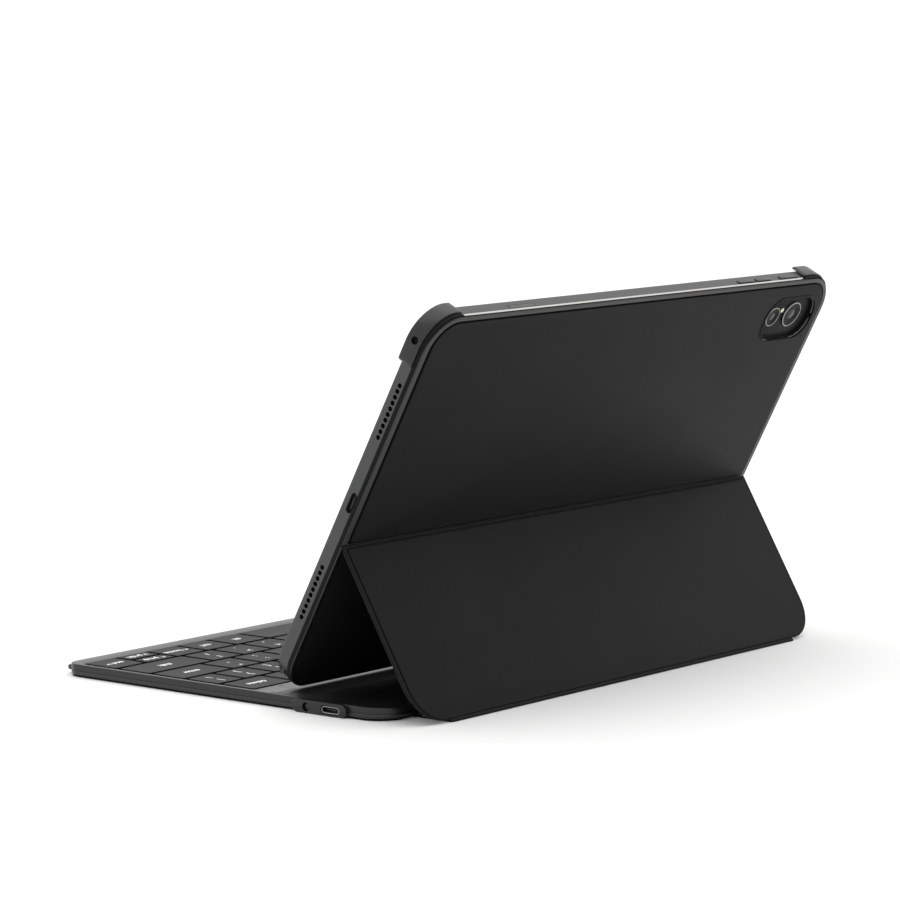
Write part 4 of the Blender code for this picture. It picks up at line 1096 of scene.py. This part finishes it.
def clip(name, side):
    """The hook's section carried up the side, round the corner and in along the top.

    The section's outer face is drawn in towards the neck over the last 1.2 mm at both ends, by
    one minus a quarter-ellipse law, which rounds the ends."""
    top = body_high[1]
    centre = np.array([TABLET_HALF - TABLET_CORNER, top - TABLET_CORNER])
    leg, run = np.linspace(0.0, 1.0, 7) ** 1.5, 1 - np.linspace(0.0, 1.0, 7)[::-1] ** 1.5
    low = top - CLIP_SIDE_LEG
    side_path = np.stack([np.full(7, TABLET_HALF), low + (centre[1] - low) * leg], axis=1)
    turn = np.linspace(0.0, math.pi / 2, 25)[1:-1]
    arc = centre + TABLET_CORNER * np.stack([np.cos(turn), np.sin(turn)], axis=1)
    end = TABLET_HALF - CLIP_TOP_LEGS[side]
    top_path = np.stack([centre[0] + (end - centre[0]) * run, np.full(7, top)], axis=1)
    path = np.concatenate([side_path, arc, top_path])
    outward = np.concatenate([
        np.tile([1.0, 0.0], (7, 1)), np.stack([np.cos(turn), np.sin(turn)], axis=1),
        np.tile([0.0, 1.0], (7, 1)),
    ])
    length = np.concatenate([[0.0], np.cumsum(np.linalg.norm(np.diff(path, axis=0), axis=1))])
    from_end = np.minimum(length, length[-1] - length)
    fullness = np.sqrt(1 - (1 - np.clip(from_end / (1.2 * MM), 0.0, 1.0)) ** 2)
    section = clip_section()
    squeeze = 0.25 + 0.75 * fullness
    offset = CLIP_CLEARANCE + (section[:, 0] - CLIP_CLEARANCE) * squeeze[:, None]
    middle = (CLIP_BACK + CLIP_FRONT) / 2
    tall = section[:, 1] > CLIP_BACK - 0.01 * MM
    depth = np.where(
        tall, middle + (section[:, 1] - middle) * (0.9 + 0.1 * fullness[:, None]), section[:, 1],
    )
    local = np.concatenate([
        path[:, None, :] + offset[:, :, None] * outward[:, None, :], depth[:, :, None],
    ], axis=2)
    local[:, :, 0] *= side
    points = COVER[0] + local.reshape(-1, 3) @ COVER[1]
    faces = grid_faces(np.arange(points.shape[0]).reshape(len(path), len(section)))
    if side > 0:
        faces = [face[::-1] for face in faces]
    # The section's first three strips, the inner face and the neck, get the tray's near-black painted
    # shade for the gap under the hook.
    shade_faces = np.append(np.tile(np.arange(len(section)) < 3, len(path) - 1), [False, False])
    shade_faces = shade_faces.astype(np.int32)
    return built(name, points.tolist(), faces, [shell_plastic, shell_painted_shade_black], SATIN_CREASE, shade_faces)


right_clip, left_clip = clip("corner_clip_right", 1), clip("corner_clip_left", -1)
MICROPHONE_AT = (body_high[1] - 12.1 * MM, 5.7 * MM)
drill(right_clip, round_bar(
    "microphone_bore", MICROPHONE_AT, 1.6 * MM, TABLET_HALF - MM, TABLET_HALF + 4 * MM,
    side_on(COVER), shell_plastic,
), SATIN_CREASE)
for hook in (right_clip, left_clip):
    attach(hook, "cover")

# A near-black disc in the painted-shade finish fills the microphone hole in front of the tablet's
# side, painted shade for the hole's inside, and below the fold the tray's rim is bound with the same
# leather in the rim's glossier finish, whose lighter colour is a painted highlight: a strip 2.3 mm
# wide from fold to fold round both lower corners.
microphone_shade_disc = round_bar(
    "microphone_painted_shade_disc", MICROPHONE_AT, 1.9 * MM, TABLET_HALF + 0.02 * MM, TABLET_HALF + 0.3 * MM,
    side_on(COVER), painted_shade_black,
)
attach(microphone_shade_disc, "cover")

BINDING = 2.3 * MM
BINDING_TOP = cover_low[1] - FOLD_REACH - 0.6 * MM


def lower_path(inset):
    """The shell's outline from the fold down one side, along the heel and up to the fold again."""
    outline = shell_outline(inset)
    left, right = outline[-17:], outline[:17]
    return np.concatenate([[[left[0, 0], BINDING_TOP]], left, right, [[right[-1, 0], BINDING_TOP]]])


binding_section = [
    (0.0, SHELL_BACK + 0.2 * MM), (0.05 * MM, SHELL_BACK - 0.1 * MM),
    (0.3 * MM, SHELL_BACK - 0.35 * MM),
    (0.7 * MM, SHELL_BACK - 0.42 * MM), (BINDING - 0.4 * MM, SHELL_BACK - 0.4 * MM),
    (BINDING - 0.1 * MM, SHELL_BACK - 0.3 * MM), (BINDING, SHELL_BACK - 0.1 * MM),
    (BINDING, SHELL_BACK + 0.2 * MM),
]
paths = np.array([lower_path(inset) for inset, _ in binding_section])
levels = [[level for _, level in binding_section]] * paths.shape[1]
binding = stacked("heel_binding", paths.transpose(1, 0, 2), levels, COVER, rim_gloss_painted_highlight)
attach(binding, "cover")

# The tray is lined with microfibre, so that the tablet's back isn't scratched.
liner = stacked(
    "tray_microfibre",
    [rounded(liner_low[0] + i, liner_high[0] - i, liner_low[1] + i, liner_high[1] - i,
             8.0 * MM, 8.0 * MM, 16) for i in (0.05 * MM, 0.0, 0.08 * MM)]
    + [window_outline(0.0)] * 2,
    [liner_low[2], liner_low[2] + 0.05 * MM, liner_high[2], liner_high[2], liner_low[2]],
    COVER, microfibre, ring_shaped=True,
)
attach(liner, "cover")
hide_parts("shell_liner")


# ======================================================================== tablet: metal body
# The tablet is a milled aluminium tub, bead blasted and anodised dark grey.  The edge next to its
# back is cut again with a diamond tool after anodising, which leaves a narrow bright chamfer.
anodised = finished(
    "anodised_aluminium", "#4f5050", 0.36, 1.0, relief=(0.15 * MM, 0.004 * MM, 0.5),
    patches=("#4d4e4e", "#525353", 20 * MM),
)
cut_edge = finished(
    "diamond_cut_aluminium", "#d6d4d0", 0.25, 1.0, relief=(0.5 * MM, 0.002 * MM, 0.3),
)
TABLET_BACK, TABLET_EDGE = body_low[2], body_high[2]
BACK_CHAMFER = 0.6 * MM
body_profile = [
    (BACK_CHAMFER + 0.02 * MM, TABLET_BACK), (BACK_CHAMFER, TABLET_BACK + 0.01 * MM),
    (0.02 * MM, TABLET_BACK + BACK_CHAMFER), (0.0, TABLET_BACK + BACK_CHAMFER + 0.03 * MM),
    *rolled(0.0, TABLET_EDGE - 0.5 * MM, 0.3 * MM, 0.5 * MM, 5),
]
tablet_body = turned_plate("tablet_tub", tablet_outline, body_profile, COVER, anodised, crease=25.0)
tablet_body.data.materials.append(cut_edge)
around = len(tablet_outline(0.0))
finish_of = np.zeros(len(tablet_body.data.polygons), np.int32)
finish_of[around:2 * around] = 1
tablet_body.data.polygons.foreach_set("material_index", finish_of)


def end_on(panel):
    """The same panel with outlines drawn on (inwards, across) and carried along it."""
    origin, axes = panel
    return origin, axes[[2, 0, 1]]


def upright_slot(centre, width, height, growth=0.0):
    """A slot whose long side runs across the panel, drawn on (inwards, across)."""
    return slot_outline(centre[::-1], width, height, growth)[::-1, ::-1]


EDGE = body_high[1]
for node in ("volume_up", "volume_down", "power_button", "card_tray"):
    low, high = span(node, COVER)
    centre = ((low[2] + high[2]) / 2, (low[0] + high[0]) / 2)
    width, height = high[0] - low[0], high[2] - low[2]
    gap = (0.08 if node == "card_tray" else 0.22) * MM
    recess = upright_slot(centre, width, height, gap)
    drill(tablet_body, stacked(
        "recess", [recess, recess], [low[1] - 0.6 * MM, EDGE + 2 * MM], end_on(COVER), anodised,
    ), 25.0)
    top = EDGE - 0.02 * MM if node == "card_tray" else high[1]
    edge = (0.06 if node == "card_tray" else 0.25) * MM
    key_profile = [(0.0, low[1]), *rolled(0.0, top - edge, edge, edge, 4)]
    button = turned_plate(
        node + "_key", lambda inset: upright_slot(centre, width, height, -inset), key_profile,
        end_on(COVER), anodised, crease=40.0,
    )
    if node == "card_tray":
        drill(button, round_bar(
            "pin_bore", (centre[0], high[0] - 1.6 * MM), 0.45 * MM, low[1] + 0.2 * MM, EDGE + MM,
            end_on(COVER), anodised, 20,
        ), 40.0)
    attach(button, "tablet" if node == "card_tray" else node)
    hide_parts(node)

# Two rows of ten speaker holes and the charging port are milled through the right side.
SIDE = side_on(COVER)
SPEAKER_RADIUS = 1.0 * MM
SPEAKER_PITCH = 2.59 * MM
TABLET_PORT_ALONG = body_low[1] + 85.4 * MM
SPEAKERS = ((EDGE - 31.8 * MM, 4.7 * MM), (EDGE - 115.5 * MM, 5.3 * MM))


def row_of_bars(name, starts, radius, low, high, sides=20):
    """Many round bars in one mesh: a circle of points at each centre, at both depths."""
    centres = np.concatenate([
        np.stack([along - SPEAKER_PITCH * np.arange(10), np.full(10, depth)], axis=1)
        for along, depth in starts
    ])
    turn = np.linspace(0.0, 2 * math.pi, sides, endpoint=False)
    ring = radius * np.stack([np.cos(turn), np.sin(turn)], axis=1)
    flat = centres[:, None, :] + ring
    local = np.empty((len(centres), 2, sides, 3))
    local[..., :2] = flat[:, None]
    local[:, 0, :, 2], local[:, 1, :, 2] = low, high
    points = SIDE[0] + local.reshape(-1, 3) @ SIDE[1]
    index = np.arange(points.shape[0]).reshape(len(centres), 2, sides)
    quads = np.stack([
        index[:, 0], np.roll(index[:, 0], -1, axis=1), np.roll(index[:, 1], -1, axis=1), index[:, 1],
    ], axis=2).reshape(-1, 4).tolist()
    caps = index[:, 0, ::-1].tolist() + index[:, 1].tolist()
    mesh = bpy.data.meshes.new(name)
    mesh.from_pydata(points.tolist(), [], quads + caps)
    mesh.materials.append(anodised)
    bars = bpy.data.objects.new(name, mesh)
    bpy.context.collection.objects.link(bars)
    return bars


drill(tablet_body, row_of_bars(
    "speaker_bores", SPEAKERS, SPEAKER_RADIUS, TABLET_HALF - 2.5 * MM, TABLET_HALF + 2 * MM,
), 25.0)
TABLET_PORT_AT = (TABLET_PORT_ALONG, TABLET_BACK + 2.5 * MM)
TABLET_PORT = (9.0 * MM, 3.1 * MM)
mouth = slot_outline(TABLET_PORT_AT, *TABLET_PORT)
drill(tablet_body, stacked(
    "port_mouth", [mouth, mouth], [TABLET_HALF - 6 * MM, TABLET_HALF + 2 * MM], SIDE, anodised,
), 25.0)
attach(tablet_body, "tablet")
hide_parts("tablet_body", "tablet_core")

# Black cloth lies behind the speaker holes, and a black nylon bushing and tongue sit in the port.
cloth_outline = slot_outline((TABLET_PORT_ALONG - 23 * MM, 5.0 * MM), 116 * MM, 1.6 * MM)
speaker_cloth = stacked(
    "speaker_cloth", [cloth_outline] * 2,
    [TABLET_HALF - 2.4 * MM, TABLET_HALF - 1.9 * MM], SIDE, black_nylon,
)
port_ring = turned_plate(
    "tablet_port_ring", lambda inset: slot_outline(TABLET_PORT_AT, *TABLET_PORT, -inset), [
        (0.02 * MM, TABLET_HALF - 5 * MM), (0.02 * MM, TABLET_HALF - 0.12 * MM),
        (0.05 * MM, TABLET_HALF - 0.04 * MM), (0.16 * MM, TABLET_HALF - 0.15 * MM),
        (0.18 * MM, TABLET_HALF - 5 * MM),
    ], SIDE, black_nylon, ring_shaped=True,
)
port_tongue = turned_plate(
    "tablet_port_tongue", lambda inset: slot_outline(TABLET_PORT_AT, 6.0 * MM, 0.7 * MM, -inset), [
        (0.0, TABLET_HALF - 5 * MM), *rolled(0.0, TABLET_HALF - 1.0 * MM, 0.15 * MM, 0.15 * MM, 2),
    ], SIDE, black_nylon,
)
for piece in (speaker_cloth, port_ring, port_tongue):
    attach(piece, "tablet")


# ======================================================================== tablet: glass front
# A sheet of toughened glass, black-printed behind its border, with a finely rounded edge.
front_glass = finished(
    "toughened_screen_glass", "#050506", 0.04, relief=(60 * MM, 0.02 * MM, 0.2), IOR=1.5,
    Coat_Weight=0.3, Coat_Roughness=0.02,
)
screen = finished("dark_display", "#0b0c0e", 0.06, relief=(60 * MM, 0.02 * MM, 0.2), IOR=1.5)
glass_low, glass_high = span("tablet_glass", COVER)
GLASS_INSET = glass_low[0] + TABLET_HALF
BEZEL = 8.5 * MM
glass_profile = [(GLASS_INSET, glass_low[2])]
glass_profile += rolled(GLASS_INSET, glass_high[2] - 0.3 * MM, 0.3 * MM, 0.3 * MM, 5)


def glass_outline(inset):
    """The glass follows the tablet; the display's own corners are tighter than the bezel's."""
    return tablet_outline(inset) if inset < BEZEL else rounded(
        -TABLET_HALF + BEZEL, TABLET_HALF - BEZEL, body_low[1] + BEZEL, body_high[1] - BEZEL,
        5.0 * MM, 5.0 * MM, 20,
    )


glass_profile += [(BEZEL, glass_high[2])]
glass = turned_plate("screen_glass_sheet", glass_outline, glass_profile, COVER, front_glass)
glass.data.materials.append(screen)
glass.data.polygons[-1].material_index = 1
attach(glass, "tablet")
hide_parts("tablet_glass")


# ======================================================================== tablet: camera
# A black glass plate fills the case's window.  Two lenses stand on it in bright turned rings, each
# over a stepped black barrel, with a frosted flash lamp between them.
camera_glass = finished(
    "camera_cover_glass", "#0c0c0d", 0.35, relief=(20 * MM, 0.01 * MM, 0.2), IOR=1.15,
)
ring_metal = finished("turned_lens_ring", "#8e8f90", 0.3, 1.0, relief=(0.2 * MM, 0.002 * MM, 0.5))
barrel = finished("blackened_barrel", "#0c0c0d", 0.5, relief=(0.2 * MM, 0.01 * MM), IOR=1.25)
lens_glass = finished(
    "coated_lens_glass", "#0b0e12", 0.08, relief=(8 * MM, 0.004 * MM, 0.2), IOR=1.35,
    Coat_Weight=0.2, Coat_Roughness=0.02, Coat_Tint=(0.55, 0.72, 1.0, 1.0),
)
flash_white = finished(
    "frosted_flash_lens", "#d8d2b8", 0.35, relief=(0.15 * MM, 0.02 * MM), IOR=1.49,
)

plate_low, plate_high = span("camera_plate", COVER)
plate_level = plate_low[2]
plate = stacked(
    "camera_plate_glass",
    [rounded(plate_low[0] + i, plate_high[0] - i, plate_low[1] + i, plate_high[1] - i,
             WINDOW_CORNER - 1.3 * MM - i, WINDOW_CORNER - 1.3 * MM - i, 16)
     for i in (0.3 * MM, 0.1 * MM, 0.0, 0.0)],
    [plate_level, plate_level + 0.04 * MM, plate_level + 0.15 * MM, plate_high[2]],
    COVER, camera_glass,
)
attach(plate, "tablet")
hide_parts("camera_plate")


def turned(name, centre, profile, finish, ring_shaped=False, sides=64):
    """A lathe-turned part: (radius, level) pairs spun about its axis, from the outer face in."""
    rings = [circle(centre, radius, sides) for radius, _ in profile]
    return stacked(name, rings, [level for _, level in profile], COVER, finish, ring_shaped, 30.0)


for node in ("lens_large", "lens_small"):
    low, high = span(node, COVER)
    centre = (low[:2] + high[:2]) / 2
    radius = (high[0] - low[0]) / 2
    front, back = low[2], high[2]
    rim = 0.08 * radius + 0.12 * MM
    ring = turned(node + "_ring", centre, [
        (radius - rim, back), (radius - rim, front + 0.12 * MM), (radius - rim + 0.06 * MM, front),
        (radius - 0.22 * MM, front), (radius - 0.08 * MM, front + 0.05 * MM),
        (radius, front + 0.15 * MM), (radius, back),
    ], ring_metal, ring_shaped=True)
    bore = radius - rim - 0.01 * MM
    cone = turned(node + "_barrel", centre, [
        (0.42 * bore, front + 0.62 * MM), (0.42 * bore, front + 0.5 * MM),
        (0.62 * bore, front + 0.46 * MM), (0.62 * bore, front + 0.34 * MM),
        (0.82 * bore, front + 0.3 * MM), (0.82 * bore, front + 0.2 * MM), (bore, front + 0.16 * MM),
        (bore, back),
    ], barrel, ring_shaped=True)
    share = np.linspace(0.04, 1.0, 9)
    element = turned(node + "_element", centre, [
        (0.42 * bore * s, front + 0.34 * MM + 0.2 * MM * s ** 2) for s in share
    ] + [(0.42 * bore, back)], lens_glass)
    for piece, slot in ((ring, "plate_steel"), (cone, "shell_plastic"), (element, "lens_glass")):
        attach(piece, "tablet")
    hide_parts(node)

large_low, large_high = span("lens_large", COVER)
small_low = span("lens_small", COVER)[0]
FLASH_AT = ((large_high[0] + small_low[0]) / 2, (large_low[1] + large_high[1]) / 2 + 2.2 * MM)
FLASH_RADIUS = 1.1 * MM
share = np.linspace(0.05, 1.0, 7)
flash = turned("flash_lamp", FLASH_AT, [
    (FLASH_RADIUS * s, plate_level - 0.12 * MM + 0.1 * MM * s ** 2) for s in share
] + [(FLASH_RADIUS, plate_level)], flash_white, sides=32)
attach(flash, "tablet")
